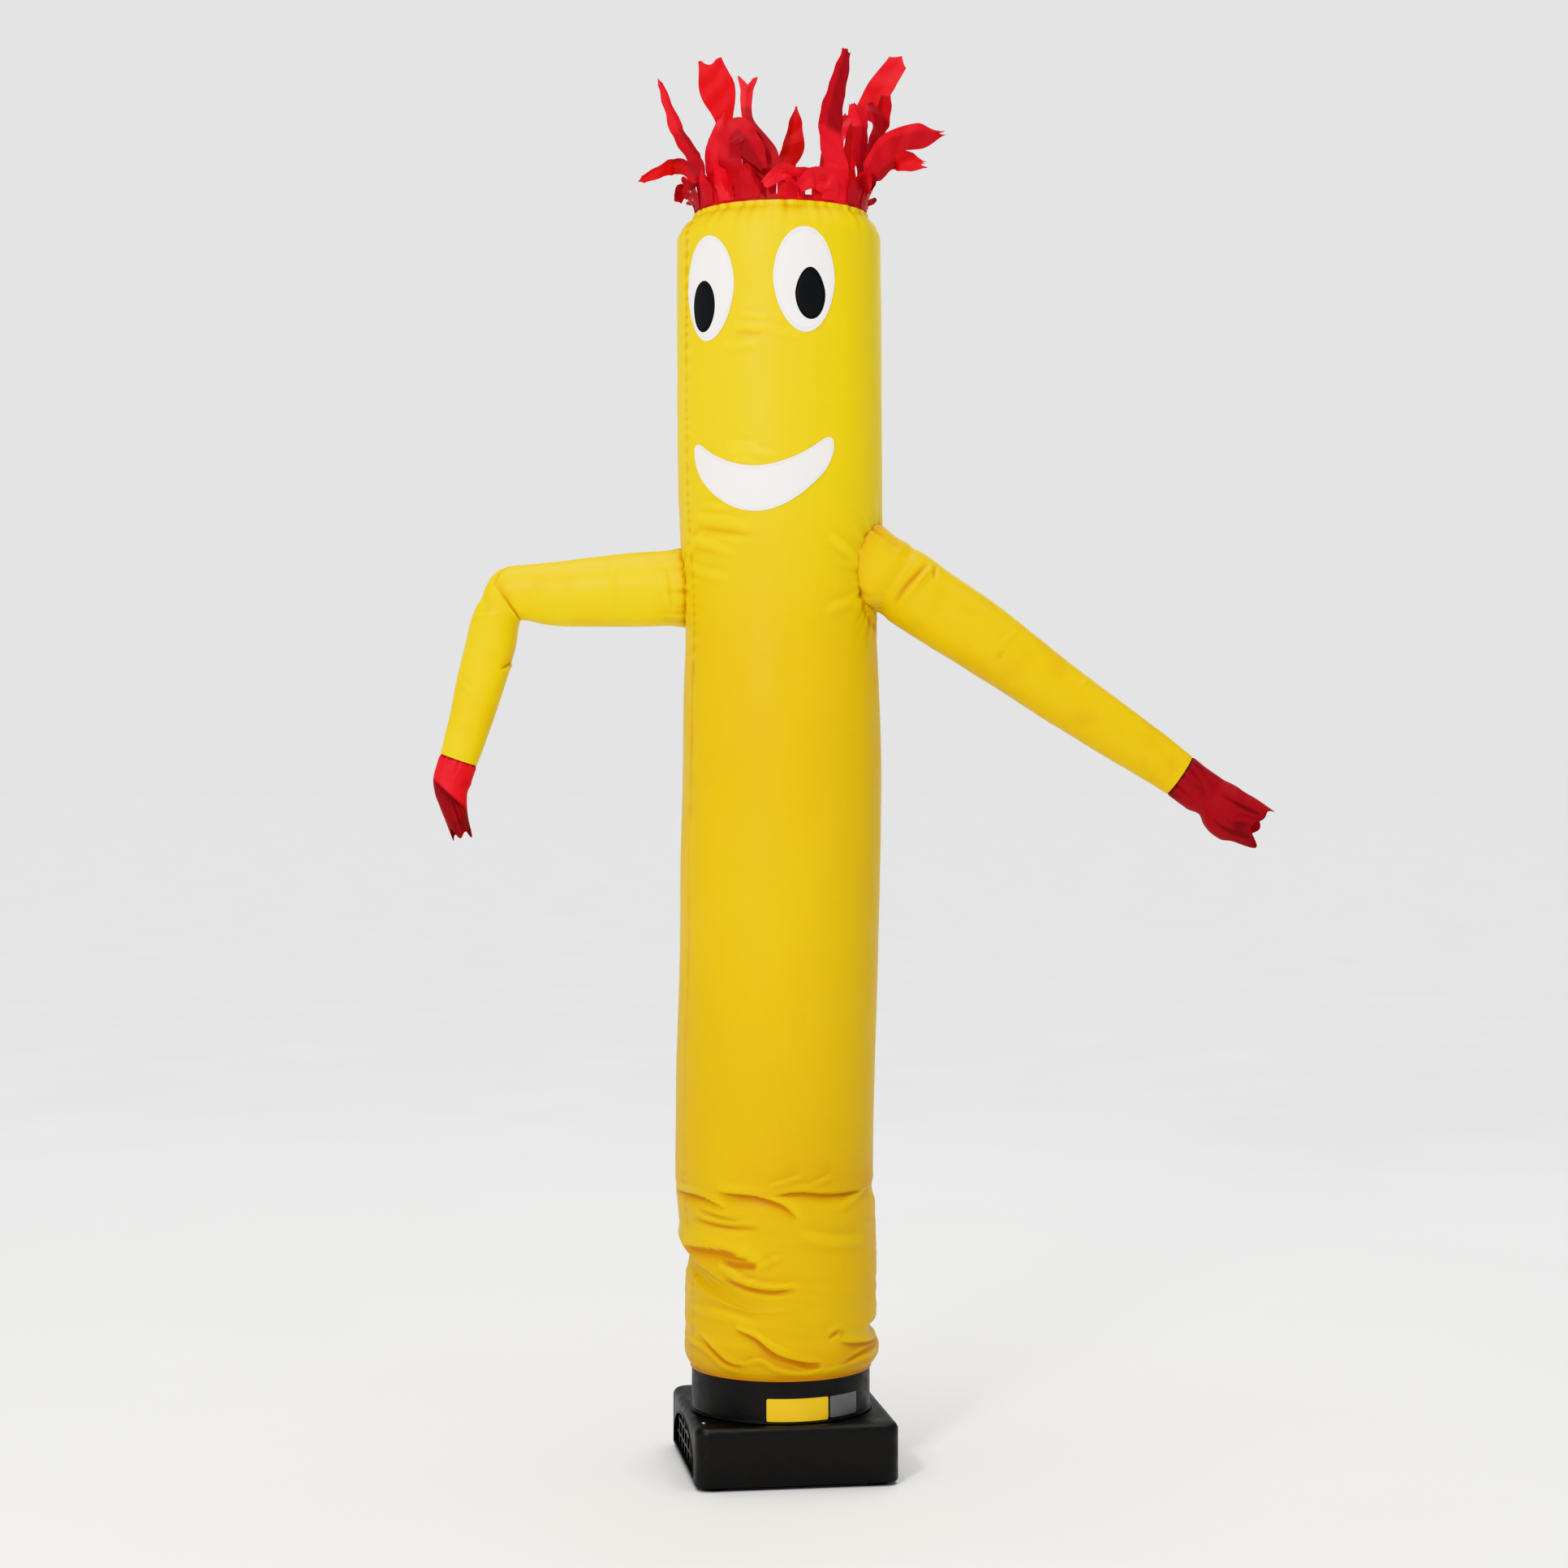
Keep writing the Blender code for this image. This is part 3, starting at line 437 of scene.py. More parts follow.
def register(piece: bpy.types.Object, finish: Finish, *nodes: str) -> bpy.types.Object:
    """Lets a piece ride on the object and in the place of these nodes.

    Args:
        piece: The piece.
        finish: Its finish; not used.
        nodes: The solids that it stands for.

    Returns:
        The piece.
    """
    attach(piece, "root")
    if nodes:
        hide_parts(*nodes)
    LOG.info("%s: %d faces", piece.name, len(piece.data.polygons))
    return piece


def quads(rows: int, columns: int, closed: bool) -> Array:
    """The corners of a grid's quads, whose rows climb and whose columns run anticlockwise from above.

    Args:
        rows: How many rows of points.
        columns: How many points in a row.
        closed: Whether the last column joins the first.

    Returns:
        Four point numbers for each quad.
    """
    row = np.arange(rows - 1)[:, None] * columns
    here = np.arange(columns if closed else columns - 1)[None, :]
    after = (here + 1) % columns
    corners = (row + here, row + after, row + columns + after, row + columns + here)
    return np.stack(corners, axis=-1).reshape(-1, 4)


def cloth_mesh(name: str, points: Array, faces: Array, flat: Array, painted_shade: Array | None) -> bpy.types.Mesh:
    """A mesh of cloth.

    Args:
        name: Its name.
        points: Its points.
        faces: The four point numbers of each face.
        flat: The cloth's own coordinates in metres, one for each corner of each face.
        painted_shade: How much painted shade each point has, from 0 to 1.

    Returns:
        The mesh.
    """
    mesh = bpy.data.meshes.new(name)
    mesh.from_pydata(points.reshape(-1, 3).tolist(), [], faces.tolist())
    mesh.uv_layers.new(name="cloth").data.foreach_set("uv", flat.astype(np.float32).ravel())
    if painted_shade is not None:
        depth = mesh.attributes.new("painted_shade", "FLOAT", "POINT")
        depth.data.foreach_set("value", painted_shade.astype(np.float32).ravel())
    return mesh


def grid_piece(
    name: str, points: Array, flat: Array, finish: Finish, closed: bool, painted_shade: Array | None = None
) -> bpy.types.Object:
    """A sheet or sleeve of cloth from a grid of points.

    Args:
        name: The piece's name.
        points: Rows by columns by three.
        flat: The cloth's own coordinates in metres, with one column more where the grid is closed.
        finish: Its finish.
        closed: Whether the columns go all the way round.
        painted_shade: How much painted shade each point has, from 0 to 1.

    Returns:
        The piece.
    """
    rows, columns = points.shape[:2]
    corners = quads(rows, flat.shape[1], False).reshape(-1)
    mesh = cloth_mesh(name, points, quads(rows, columns, closed), flat.reshape(-1, 2)[corners], painted_shade)
    return link_mesh(name, mesh, finish)


@contextmanager
def opened(mesh: bpy.types.Mesh) -> Iterator[bmesh.types.BMesh]:
    """Opens a mesh for changes and writes them back.

    Args:
        mesh: The mesh.

    Yields:
        The form in which it can be changed.
    """
    work = bmesh.new()
    work.from_mesh(mesh)
    yield work
    work.to_mesh(mesh)
    work.free()


def close_end(piece: bpy.types.Object, first: int, count: int) -> None:
    """Closes a grid's last row with one face.

    Args:
        piece: The piece.
        first: Its last row's first point.
        count: How many points that row has.
    """
    with opened(piece.data) as work:
        work.verts.ensure_lookup_table()
        work.faces.new([work.verts[first + k] for k in range(count)]).smooth = True


def thicken(piece: bpy.types.Object, thickness: float) -> None:
    """Gives a sheet its thickness, inwards.

    Args:
        piece: The sheet.
        thickness: How thick it gets.
    """
    wall = piece.modifiers.new("thickness", "SOLIDIFY")
    wall.thickness = thickness
    wall.offset = -1.0


def smooth_curve(knots: Array, values: Array, at: Array) -> Array:
    """A smooth curve through the knots that never overshoots them.

    Args:
        knots: Where the values are, climbing.
        values: The values there.
        at: Where the curve is wanted.

    Returns:
        The curve's values.
    """
    gap = np.diff(knots)
    slope = np.diff(values) / gap
    lean = np.zeros(len(knots))
    same = slope[:-1] * slope[1:] > 0
    before, after = 2 * gap[1:] + gap[:-1], gap[1:] + 2 * gap[:-1]
    with np.errstate(divide="ignore", invalid="ignore"):
        middle = (before + after) / (before / slope[:-1] + after / slope[1:])
    lean[1:-1] = np.where(same, middle, 0.0)
    lean[0], lean[-1] = slope[0], slope[-1]
    k = np.clip(np.searchsorted(knots, at, side="right") - 1, 0, len(knots) - 2)
    t = np.clip((at - knots[k]) / gap[k], 0.0, 1.0)
    start = values[k] * (2 * t**3 - 3 * t**2 + 1) + gap[k] * lean[k] * (t**3 - 2 * t**2 + t)
    return start + values[k + 1] * (3 * t**2 - 2 * t**3) + gap[k] * lean[k + 1] * (t**3 - t**2)


def ease(share: Array | float) -> Array:
    """From 0 to 1 with a soft start and end."""
    share = np.clip(share, 0.0, 1.0)
    return share * share * (3.0 - 2.0 * share)


def bell(away: Array, width: float) -> Array:
    """1 where away is 0, falling softly to 0 on both sides within about twice the width."""
    return np.exp(-((away / width) ** 2))


def round_axis(reach: Array | float, turn: Array | float, height: Array | float) -> Array:
    """Points by their reach from the upright axis, their angle from the front in radians and their height."""
    return np.stack(np.broadcast_arrays(reach * np.sin(turn), -reach * np.cos(turn), height), axis=-1)


def lengths_along(line: Array) -> Array:
    """How far along a line each of its points is."""
    return np.concatenate([[0.0], np.cumsum(np.linalg.norm(np.diff(line, axis=0), axis=1))])


def spline(whole: Array, count: int) -> tuple[Array, Array]:
    """A smooth line through all of these points but the first and the last, which only steer it.

    Args:
        whole: The points, one to a row.
        count: How many points the line has.

    Returns:
        The line's points, and its heading at each.
    """
    at = np.linspace(0.0, len(whole) - 3.0, count)
    k = np.minimum(at.astype(int), len(whole) - 4)
    t = (at - k)[:, None]
    a, b, c, d = (whole[k + j] for j in range(4))
    square, cube = 2 * a - 5 * b + 4 * c - d, 3 * b - a - 3 * c + d
    line = 0.5 * (2 * b + (c - a) * t + square * t**2 + cube * t**3)
    return line, 0.5 * (c - a + 2 * square * t + 3 * cube * t**2)


CREASE_STEPS = 22  # points on the smooth line of a crease
CREASE_REACH = 3.2  # how far a crease is felt, in its widths
CREASE_FADE = 0.6  # how quickly a crease fades out at its ends


@dataclass(frozen=True)
class Crease:
    """A soft crease along a line on the cloth, in the cloth's own two coordinates."""

    kind: Fold
    depth: float
    width: float
    line: tuple[tuple[float, float], ...]

    def relief(self, across: Array, along: Array, scale: float) -> Array:
        """How far the crease lifts each point of the cloth.

        Args:
            across: The points' first coordinate.
            along: Their second coordinate, in metres.
            scale: Metres to one unit of the first coordinate.

        Returns:
            The lift in metres, negative in a trough.
        """
        lift = np.zeros(across.shape)
        line = np.array(self.line)
        whole = np.vstack([2 * line[0] - line[1], line, 2 * line[-1] - line[-2]])
        path = spline(whole, CREASE_STEPS)[0] * np.array([scale, 1.0])
        spot = np.stack([across * scale, along], axis=-1)
        reach = CREASE_REACH * self.width
        near = (spot > path.min(0) - reach).all(-1) & (spot < path.max(0) + reach).all(-1)
        if not near.any():
            return lift
        here = spot[near][:, None, :]
        start, run = path[:-1][None], np.diff(path, axis=0)[None]
        length = np.linalg.norm(run, axis=-1)
        share = np.clip(((here - start) * run).sum(-1) / length**2, 0.0, 1.0)
        off = here - start - share[..., None] * run
        far = np.linalg.norm(off, axis=-1)
        k = far.argmin(1)
        pick = np.arange(len(k))
        side = np.sign(run[0, k, 0] * off[pick, k, 1] - run[0, k, 1] * off[pick, k, 0])
        x = side * far[pick, k] / self.width
        t = (k + share[pick, k]) / run.shape[1]
        fade = np.sin(np.pi * np.clip(t, 0.0, 1.0)) ** CREASE_FADE
        lift[near] = self.depth * fade * self.section(x)
        return lift

    def section(self, x: Array) -> Array:
        """The crease's height across its line, measured in its widths.

        Args:
            x: How far from the line each point is, negative on one side of it.

        Returns:
            The height, as a share of the crease's depth.
        """
        if self.kind is LAP:
            return 1.5 * np.tanh(3.2 * x) * np.exp(-1.05 * np.abs(x))
        crest = np.exp(-1.5 * (np.sqrt(x * x + 0.05) - 0.2236))
        ridge = crest - 0.28 * (bell(x - 1.7, 1.0) + bell(x + 1.7, 1.0))
        return ridge if self.kind is RIDGE else -ridge


def creases_of(*rows: tuple[Any, ...]) -> tuple[Crease, ...]:
    """Creases from rows of their kind, depth, width and points, all lengths in millimetres.

    Args:
        rows: A point is two numbers: its first coordinate, and how far along the cloth it is.

    Returns:
        The creases.
    """
    return tuple(
        Crease(kind, depth / 1000, width / 1000, tuple(zip(line[::2], (far / 1000 for far in line[1::2]))))
        for kind, depth, width, *line in rows
    )


def rumple(points: Array, scale: float, layers: int) -> Array:
    """Soft noise at each point.

    Args:
        points: The points, the last axis being three.
        scale: How many waves to a metre.
        layers: How many finer layers it has.

    Returns:
        The noise, from about -1 to 1.
    """
    flat = (points.reshape(-1, 3) * scale).tolist()
    values = [noise.fractal(spot, 0.9, 2.1, layers) for spot in flat]
    return np.array(values).reshape(points.shape[:-1])


# ---------------------------------------------------------------- body tube


@dataclass(frozen=True)
class Row:
    """One ring of the tube, its lengths in millimetres.

    slant is how far it follows the long fold that falls from the left side to the front, from 0 to 1;
    left, front and right are how far the cloth stands out there; gather is the hem's puckers' depth.
    """

    height: float
    centre: float
    radius: float
    slant: float = 0.0
    left: float = 0.0
    front: float = 0.0
    right: float = 0.0
    gather: float = 0.0


@dataclass(frozen=True)
class Armhole:
    """The oval line where a sleeve is sewn to the tube."""

    angle: float
    height: float
    half_wide: float
    half_tall: float


TUBE_ROWS = tuple(
    Row(*row)
    for row in (
        (219.5, 0, 192.6), (227, 0, 193, 0, 0, 0, 0, 0.3), (234, 1, 200, 0, 0, 0, 1, 2.2),
        (247, 1, 204, 0, 0, 1, 3.5, 3), (263, 1, 204.5, 0, 0, 2, 4, 2.6), (283, 0, 202.8, 0, 0, 1, 0, 1.4),
        (305, 0, 202.4, 0, 0, 0, -16.5, 0.5), (326, 0, 203.2, 0, 0, 0, 1), (361, 0, 203, 0.2),
        (401, 0, 202.4, 0.5, 0, 2), (437, 0, 202.4, 0.85, -5, 5), (461, 0, 202.4, 1, -11, -8),
        (481, -2, 203.2, 1, -2.2, -4), (501, -4.2, 204.6, 1, 9.5, 6.5), (515, -5.5, 205.4, 0.8, 4.9, 4.2),
        (541, -7.8, 206.8, 0.35, 2.1), (573, -10.8, 208.8, 0.1, 1, 2), (596, -14, 207.8, 0, 1, -5.5, -2),
        (621, -14.5, 210.4, 0, 0, 1), (731, -13, 210.8), (891, -9.5, 211.1), (1081, -4, 211.1),
        (1281, -1, 212.8), (1461, 2.6, 211.8), (1621, 1.7, 209.3), (1711, 1, 205.6), (1771, 1, 203.5),
        (1881, 1, 207), (2001, 1, 215.4), (2081, -1, 217.2), (2321, -3, 218), (2609, -3.7, 216.6),
        (2629, -2, 209), (2643, -1, 198.8), (2654, 0, 186.5), (2662, 0, 186.5),
    )
)

# Creases of the blown-up tube, as angle and height along each line.
TUBE_CREASES = creases_of(
    (LAP, 3.6, 6, -86, 597, -60, 596, -45.6, 593, -29.2, 578),
    (LAP, 4.8, 7, -34.3, 609, -22, 607, -9.7, 604, 4.4, 588, 13, 560),
    (LAP, 4.8, 6, -1.2, 605, 12.9, 613, 31.3, 606, 50, 605, 74, 603),
    (RIDGE, 2.4, 5, -3, 625, 10, 638, 16, 645),
    (RIDGE, 2.6, 6, 17, 616, 29.6, 634, 35, 640),
    (RIDGE, 3, 7, 40, 578, 55.3, 595, 70.2, 606),
    (TROUGH, 2.6, 6, -56, 547, -32.6, 538, -10, 539),
    (TROUGH, 2, 5, -50, 568, -34, 557, -20, 553),
    (LAP, 3.6, 13, -70, 485, -57.4, 488, -34.3, 489, -21, 478, -10, 462),
    (RIDGE, 3, 5, -14, 452, -5.4, 470, 2, 480),
    (TROUGH, 3, 6, -34, 463, -21.4, 458, -9, 458),
    (RIDGE, 4.6, 7, -36, 460, -28, 445, -21.4, 431, -6.8, 417, 12.5, 419),
    (TROUGH, 3.6, 6, -33, 430, -18.4, 414, -4, 407, 10, 413),
    (RIDGE, 1.6, 9, -67.3, 356, -32.6, 351, -12.5, 331),
    (RIDGE, 1.4, 10, 12.9, 527, 34.7, 507, 60.9, 501),
    (RIDGE, 3, 5, -74.6, 288, -52.3, 279, -36, 249, -26, 240),
    (LAP, 3.2, 5, -56, 306, -41.6, 277, -30.9, 256, -19.9, 252),
    (LAP, 5, 6, -27.6, 328, -15.4, 311, -2.6, 279, 12.9, 261, 24, 258),
    (RIDGE, 2.8, 5, -18, 327, -6.8, 302, 5, 280),
    (RIDGE, 3.2, 5, -24.5, 250, -12.5, 264, -2.6, 247, 12.9, 236, 26, 244),
    (TROUGH, 2.6, 5, 0, 279, 12.9, 256, 24, 248),
    (RIDGE, 3, 5, 24.9, 238, 42, 248, 60, 253, 79.5, 257),
    (TROUGH, 2.6, 5, 30, 240, 45, 254, 60, 265, 79.5, 270),
    (RIDGE, 2.4, 5, 30, 298, 40, 322),
    (LAP, 3.4, 6, 38, 296, 55.3, 286, 87.4, 279),
    (TROUGH, 3, 7, 28.9, 307, 36.2, 315, 40.5, 318),
    (LAP, 4.2, 7, 104, 601, 140, 590, 172, 573),
    (LAP, 3.8, 6, -176, 606, -140, 598, -108, 604),
    (RIDGE, 3.4, 7, 116, 452, 146, 431, 174, 440),
    (LAP, 4.2, 7, -168, 506, -140, 481, -112, 487),
    (LAP, 3.6, 6, 98, 302, 124, 272, 150, 251),
    (RIDGE, 3, 6, -156, 316, -132, 276, -108, 252),
    (RIDGE, 2.8, 6, 152, 300, 166, 276, 177, 248),
    (RIDGE, 1.8, 6, -22.3, 2424, -6.6, 2412),
    (RIDGE, 2.2, 7, -25.7, 2401, -12, 2396, -0.4, 2389),
    (TROUGH, 1.6, 6, -24, 2386, -9.6, 2379),
    (RIDGE, 2, 7, -30.9, 2363, -11.2, 2357),
    (RIDGE, 1.6, 8, -4.4, 2390, 13.3, 2379),
    (RIDGE, 1.8, 7, -30.9, 2158, -11.2, 2149),
    (RIDGE, 2.2, 7, -29.2, 2143, -0.4, 2132),
    (RIDGE, 1.6, 6, -25.7, 2126, -14.3, 2120),
    (RIDGE, 2.2, 7, -48.8, 2036, -30.9, 2025),
    (RIDGE, 2.5, 7, -55, 2013, -37, 2005, -19.1, 1990),
    (TROUGH, 2.2, 7, -55, 1990, -15.9, 1967),
    (RIDGE, 2.5, 7, -56.5, 1961, -27.4, 1935),
    (RIDGE, 2.4, 8, -65.9, 1909, -30.9, 1880),
    (RIDGE, 2.6, 9, -68.4, 1968, -35.5, 1951),
    (RIDGE, 2.2, 8, -47.7, 1979, -68.4, 1942),
    (RIDGE, 2.8, 9, 81.9, 1981, 66, 1962, 51.1, 1938),
    (RIDGE, 2.2, 9, 27.6, 1967, 51.1, 1921),
    (RIDGE, 2, 9, 27.6, 1816, 52.6, 1845),
)


@dataclass(frozen=True)
class TubeForm:
    """The shape of the blown-up tube, by the angle round it and the height.

    bulges holds the column, the middle angle and the spread of each place where the cloth stands out;
    fold_foot is the angle where the long fold hangs lowest, and fold_drop how far it has fallen there;
    degree is how much cloth lies in one degree.
    """

    rows: tuple[Row, ...] = TUBE_ROWS
    creases: tuple[Crease, ...] = TUBE_CREASES
    armholes: tuple[Armhole, ...] = (Armhole(-102.7, 1.875, 0.089, 0.087), Armhole(76.7, 1.892, 0.090, 0.106))
    bulges: tuple[tuple[str, float, float], ...] = (("left", -90, 60), ("front", -38, 52), ("right", 90, 38))
    fold_foot: float = -12.0
    fold_drop: float = 0.085
    seam_angle: float = -64.0
    seam_height: float = 2.654
    degree: float = 0.00369

    def column(self, field: str, height: Array) -> Array:
        """One column of the rows at these heights.

        Args:
            field: The column's name.
            height: The heights in metres.

        Returns:
            Its values there, in metres, or as a share for slant.
        """
        knots = np.array([row.height for row in self.rows]) / 1000
        values = np.array([getattr(row, field) for row in self.rows]) / (1 if field == "slant" else 1000)
        return smooth_curve(knots, values, height)

    def bulge(self, degrees: Array, middle: float, spread: float) -> Array:
        """1 at the middle angle, falling to 0 at its spread on both sides."""
        away = np.abs((degrees - middle + 180.0) % 360.0 - 180.0)
        return ease(1.0 - away / spread)

    def drop(self, degrees: Array) -> Array:
        """How far the long fold has fallen at this angle.

        Args:
            degrees: The angles in degrees.

        Returns:
            The drop in metres.
        """
        falling = ease((degrees + 95.0) / (self.fold_foot + 95.0))
        rising = ease((100.0 - degrees) / (100.0 - self.fold_foot))
        return self.fold_drop * np.where(degrees <= self.fold_foot, falling, rising)

    def radius(self, degrees: Array, height: Array) -> Array:
        """The tube's radius without its creases.

        Args:
            degrees: The angles in degrees.
            height: The rows' heights.

        Returns:
            The radius in metres.
        """
        turn = np.radians(degrees)
        radius = self.column("radius", height)
        for field, middle, spread in self.bulges:
            radius = radius + self.column(field, height) * self.bulge(degrees, middle, spread)
        uneven = 1.0 + 0.35 * (np.sin(2.0 * turn + 0.87) - 1.0)
        return radius + self.column("gather", height) * uneven * np.cos(11.0 * turn)

    def slack(self, degrees: Array, level: Array) -> Array:
        """How far the looseness of the cloth lifts it, most of all in the tube's low part.

        Args:
            degrees: The angles.
            level: The real heights.

        Returns:
            The lift in metres.
        """
        turn = np.radians(degrees)
        spot = round_axis(0.21, turn, 0.55 * level)
        loose = 0.30 + 0.70 * np.clip((0.72 - level) / 0.12, 0.0, 1.0)
        free = ease((level - 0.232) / 0.022)
        lift = free * (0.0028 * loose * rumple(spot, 5.0, 1) + 0.0007 * rumple(spot + 7.0, 21.0, 2))
        low = np.clip((0.64 - level) / 0.05, 0.0, 1.0)
        slant = 2.6 * level + 0.5 * 0.21 * (turn + 0.7)
        bands = np.stack([0.45 * spot[..., 0], 0.45 * spot[..., 1], slant], axis=-1)
        return lift + 0.0017 * low * free * (1.0 - 2.0 * np.abs(rumple(bands + 3.0, 13.0, 1)))

    def creased(self, degrees: Array, level: Array) -> Array:
        """How far the creases and the puckers of the seams lift the cloth.

        Args:
            degrees: The angles.
            level: The real heights.

        Returns:
            The lift in metres.
        """
        lift = sum(crease.relief(degrees, level, self.degree) for crease in self.creases)
        turn = np.radians(degrees)
        below = np.clip(self.seam_height - level, 0.0, 1.0)
        waves = np.cos(37 * turn + 1.0) + 0.8 * np.cos(53 * turn) + 0.6 * np.cos(29 * turn + 2.0)
        lift = lift + 0.0009 * np.exp(-below / 0.022) * waves
        lift = lift + sum(self.gathered(hole, degrees, level) for hole in self.armholes)
        return lift + self.side_seam(degrees, level)

    def gathered(self, hole: Armhole, degrees: Array, level: Array) -> Array:
        """The puckers of the cloth round an armhole.

        Args:
            hole: The armhole.
            degrees: The angles in degrees.
            level: The real heights.

        Returns:
            The lift in metres.
        """
        across = (degrees - hole.angle) * self.degree / hole.half_wide
        up = (level - hole.height) / hole.half_tall
        away = (np.hypot(across, up) - 1.0) * 0.5 * (hole.half_wide + hole.half_tall)
        turn = np.arctan2(up, across)
        waves = np.cos(17 * turn) + 0.8 * np.cos(27 * turn + 1.3) + 0.7 * np.cos(41 * turn + 2.1)
        outside = np.where(away > -0.01, np.exp(-np.clip(away, 0.0, None) / 0.020), 0.0)
        return outside * (0.0011 * waves - 0.0024 * bell(away, 0.006))

    def side_seam(self, degrees: Array, level: Array) -> Array:
        """The upright seam that closes the tube, with its small puckers.

        Args:
            degrees: The angles in degrees.
            level: The real heights.

        Returns:
            The lift in metres.
        """
        away = (degrees - self.seam_angle) * self.degree
        taut = 0.20 + 0.25 * np.clip((level - 1.2) / 0.5, 0.0, 1.0)
        taut = taut + 0.55 * np.clip((level - 2.33) / 0.08, 0.0, 1.0)
        puckers = 0.0015 * np.sin(level * 260.0 + 3.0 * np.sin(level * 31.0)) * bell(away, 0.013)
        return taut * (puckers - 0.0022 * bell(away, 0.0045))

    def place(self, degrees: Array, height: Array, lift: float | Array = 0.0) -> tuple[Array, Array]:
        """Points on the cloth.

        Args:
            degrees: The angles.
            height: The rows' heights, before the long fold draws them down.
            lift: How far off the cloth the points are.

        Returns:
            The points, and how far their creases lift them.
        """
        level = height - self.column("slant", height) * self.drop(degrees)
        relief = self.creased(degrees, level)
        reach = self.radius(degrees, height) + relief + self.slack(degrees, level) + lift
        points = round_axis(reach, np.radians(degrees), level)
        points[..., 0] += self.column("centre", height)
        return points, relief

    def outside(self, points: Array) -> Array:
        """How far outside the smooth tube these points are, above the long fold.

        Args:
            points: The points.

        Returns:
            The distances, negative inside.
        """
        x = points[..., 0] - self.column("centre", points[..., 2])
        degrees = np.degrees(np.arctan2(x, -points[..., 1]))
        return np.hypot(x, points[..., 1]) - self.radius(degrees, points[..., 2])


@dataclass(frozen=True)
class BodyTube:
    """The yellow tube from the hem to the shoulder seam, and the panel that closes it."""

    form: TubeForm
    front_sides: int = 188
    back_sides: int = 52
    girth_radius: float = 0.2115
    cloth_length: float = 2.443
    bands: tuple[tuple[float, float, float], ...] = (
        (0.2195, 0.650, 0.0027),
        (0.650, 1.700, 0.0300),
        (1.700, 2.100, 0.0050),
        (2.100, 2.440, 0.0050),
        (2.440, 2.600, 0.0080),
        (2.600, 2.662, 0.0026),
    )
    panel_radius: float = 0.1797
    panel_low: float = 2.655
    panel_crown: float = 0.018
    panel_sides: int = 144
    panel_rings: int = 22

    def heights(self) -> Array:
        """The heights of the tube's rows, closer together where the cloth is creased."""
        runs = [np.arange(low, high - step / 2, step) for low, high, step in self.bands]
        return np.append(np.concatenate(runs), self.bands[-1][1])

    def turns(self) -> Array:
        """The angles of the tube's columns, closer together in front, with the first one again.

        Returns:
            The angles in degrees.
        """
        front = np.linspace(-100.0, 100.0, self.front_sides + 1)
        back = np.linspace(100.0, 180.0, self.back_sides // 2 + 1)[1:]
        return np.concatenate([-back[::-1], front, back])

    def build(self) -> list[bpy.types.Object]:
        """Makes the tube and its top panel."""
        return [self.tube(), self.panel()]

    def tube(self) -> bpy.types.Object:
        """The tube's cloth in one sheet, joined along its seam.

        Returns:
            The tube.
        """
        heights, turns = self.heights(), self.turns()
        degrees, rows = np.meshgrid(turns[:-1], heights)
        points, relief = self.form.place(degrees, rows)
        wide = self.girth_radius * math.tau
        flat = np.stack(np.meshgrid((turns + 180.0) / 360.0 * wide, heights), axis=-1)
        # Painted shade of the cloth, with a darker line along the hem.
        painted_shade = self.depth(degrees, points[..., 2], relief) + 0.5 * bell(rows - 0.2225, 0.0040)
        tube = grid_piece("tube_cloth", points, flat, YELLOW_CLOTH, True, painted_shade)
        register(tube, YELLOW_CLOTH, "body_tube")
        return tube

    def depth(self, degrees: Array, level: Array, relief: Array) -> Array:
        """The painted shade in the cloth's colour.

        Args:
            degrees: The angles.
            level: The real heights.
            relief: How far the creases lift the cloth.

        Returns:
            The painted shade: deeper in creases, towards the foot, above the long fold and at the hem, with
                painted highlight on the ridges.
        """
        # Painted shade in the creases and painted highlight on the ridges; painted shade towards the foot,
        # above the long fold and at the hem.
        creased = np.clip(-relief / 0.0042, -0.10, np.where(level > 1.7, 0.45, 0.80))
        low = 0.30 * ease((2.15 - level) / 0.45) + 0.14 * ease((1.2 - level) / 0.8)
        over = ease((degrees + 40.0) / 60.0) * ease((125.0 - degrees) / 50.0) * (level > 0.603)
        above = 0.26 * over * np.exp(-np.clip(level - 0.606, 0.0, None) / 0.05)
        return creased + low + above + 0.14 * ease((0.300 - level) / 0.03)

    def panel(self) -> bpy.types.Object:
        """The round panel inside the shoulder seam, domed by the air.

        Returns:
            The panel.
        """
        reach = np.linspace(1.0, 0.02, self.panel_rings)
        turns = np.linspace(-math.pi, math.pi, self.panel_sides + 1)
        turn, share = np.meshgrid(turns[:-1], reach)
        waves = np.cos(31 * turn) + 0.7 * np.cos(47 * turn + 1.1)
        dome = self.panel_crown * (1.0 - share**2.2) + 0.0012 * waves * np.clip((share - 0.7) / 0.3, 0.0, 1.0)
        points = round_axis(self.panel_radius * share, turn, self.panel_low + dome)
        radius = self.panel_radius * reach
        flat = np.stack([np.outer(radius, np.sin(turns)), np.outer(radius, np.cos(turns))], axis=-1)
        panel = grid_piece("top_panel_cloth", points, flat, YELLOW_CLOTH, True)
        close_end(panel, (len(reach) - 1) * self.panel_sides, self.panel_sides)
        register(panel, YELLOW_CLOTH, "top_panel")
        return panel


# ---------------------------------------------------------------- arms and hands


@dataclass(frozen=True)
class Station:
    """One ring of a sleeve: its centre, its heading's dip in degrees and its half sizes."""

    x: float
    y: float
    z: float
    dip: float
    up: float
    deep: float


def stations_of(*rows: tuple[float, ...]) -> tuple[Station, ...]:
    """Stations from rows of their fields, all lengths in millimetres."""
    metres = [(x / 1000, y / 1000, z / 1000, dip, up / 1000, deep / 1000) for x, y, z, dip, up, deep in rows]
    return tuple(Station(*row) for row in metres)


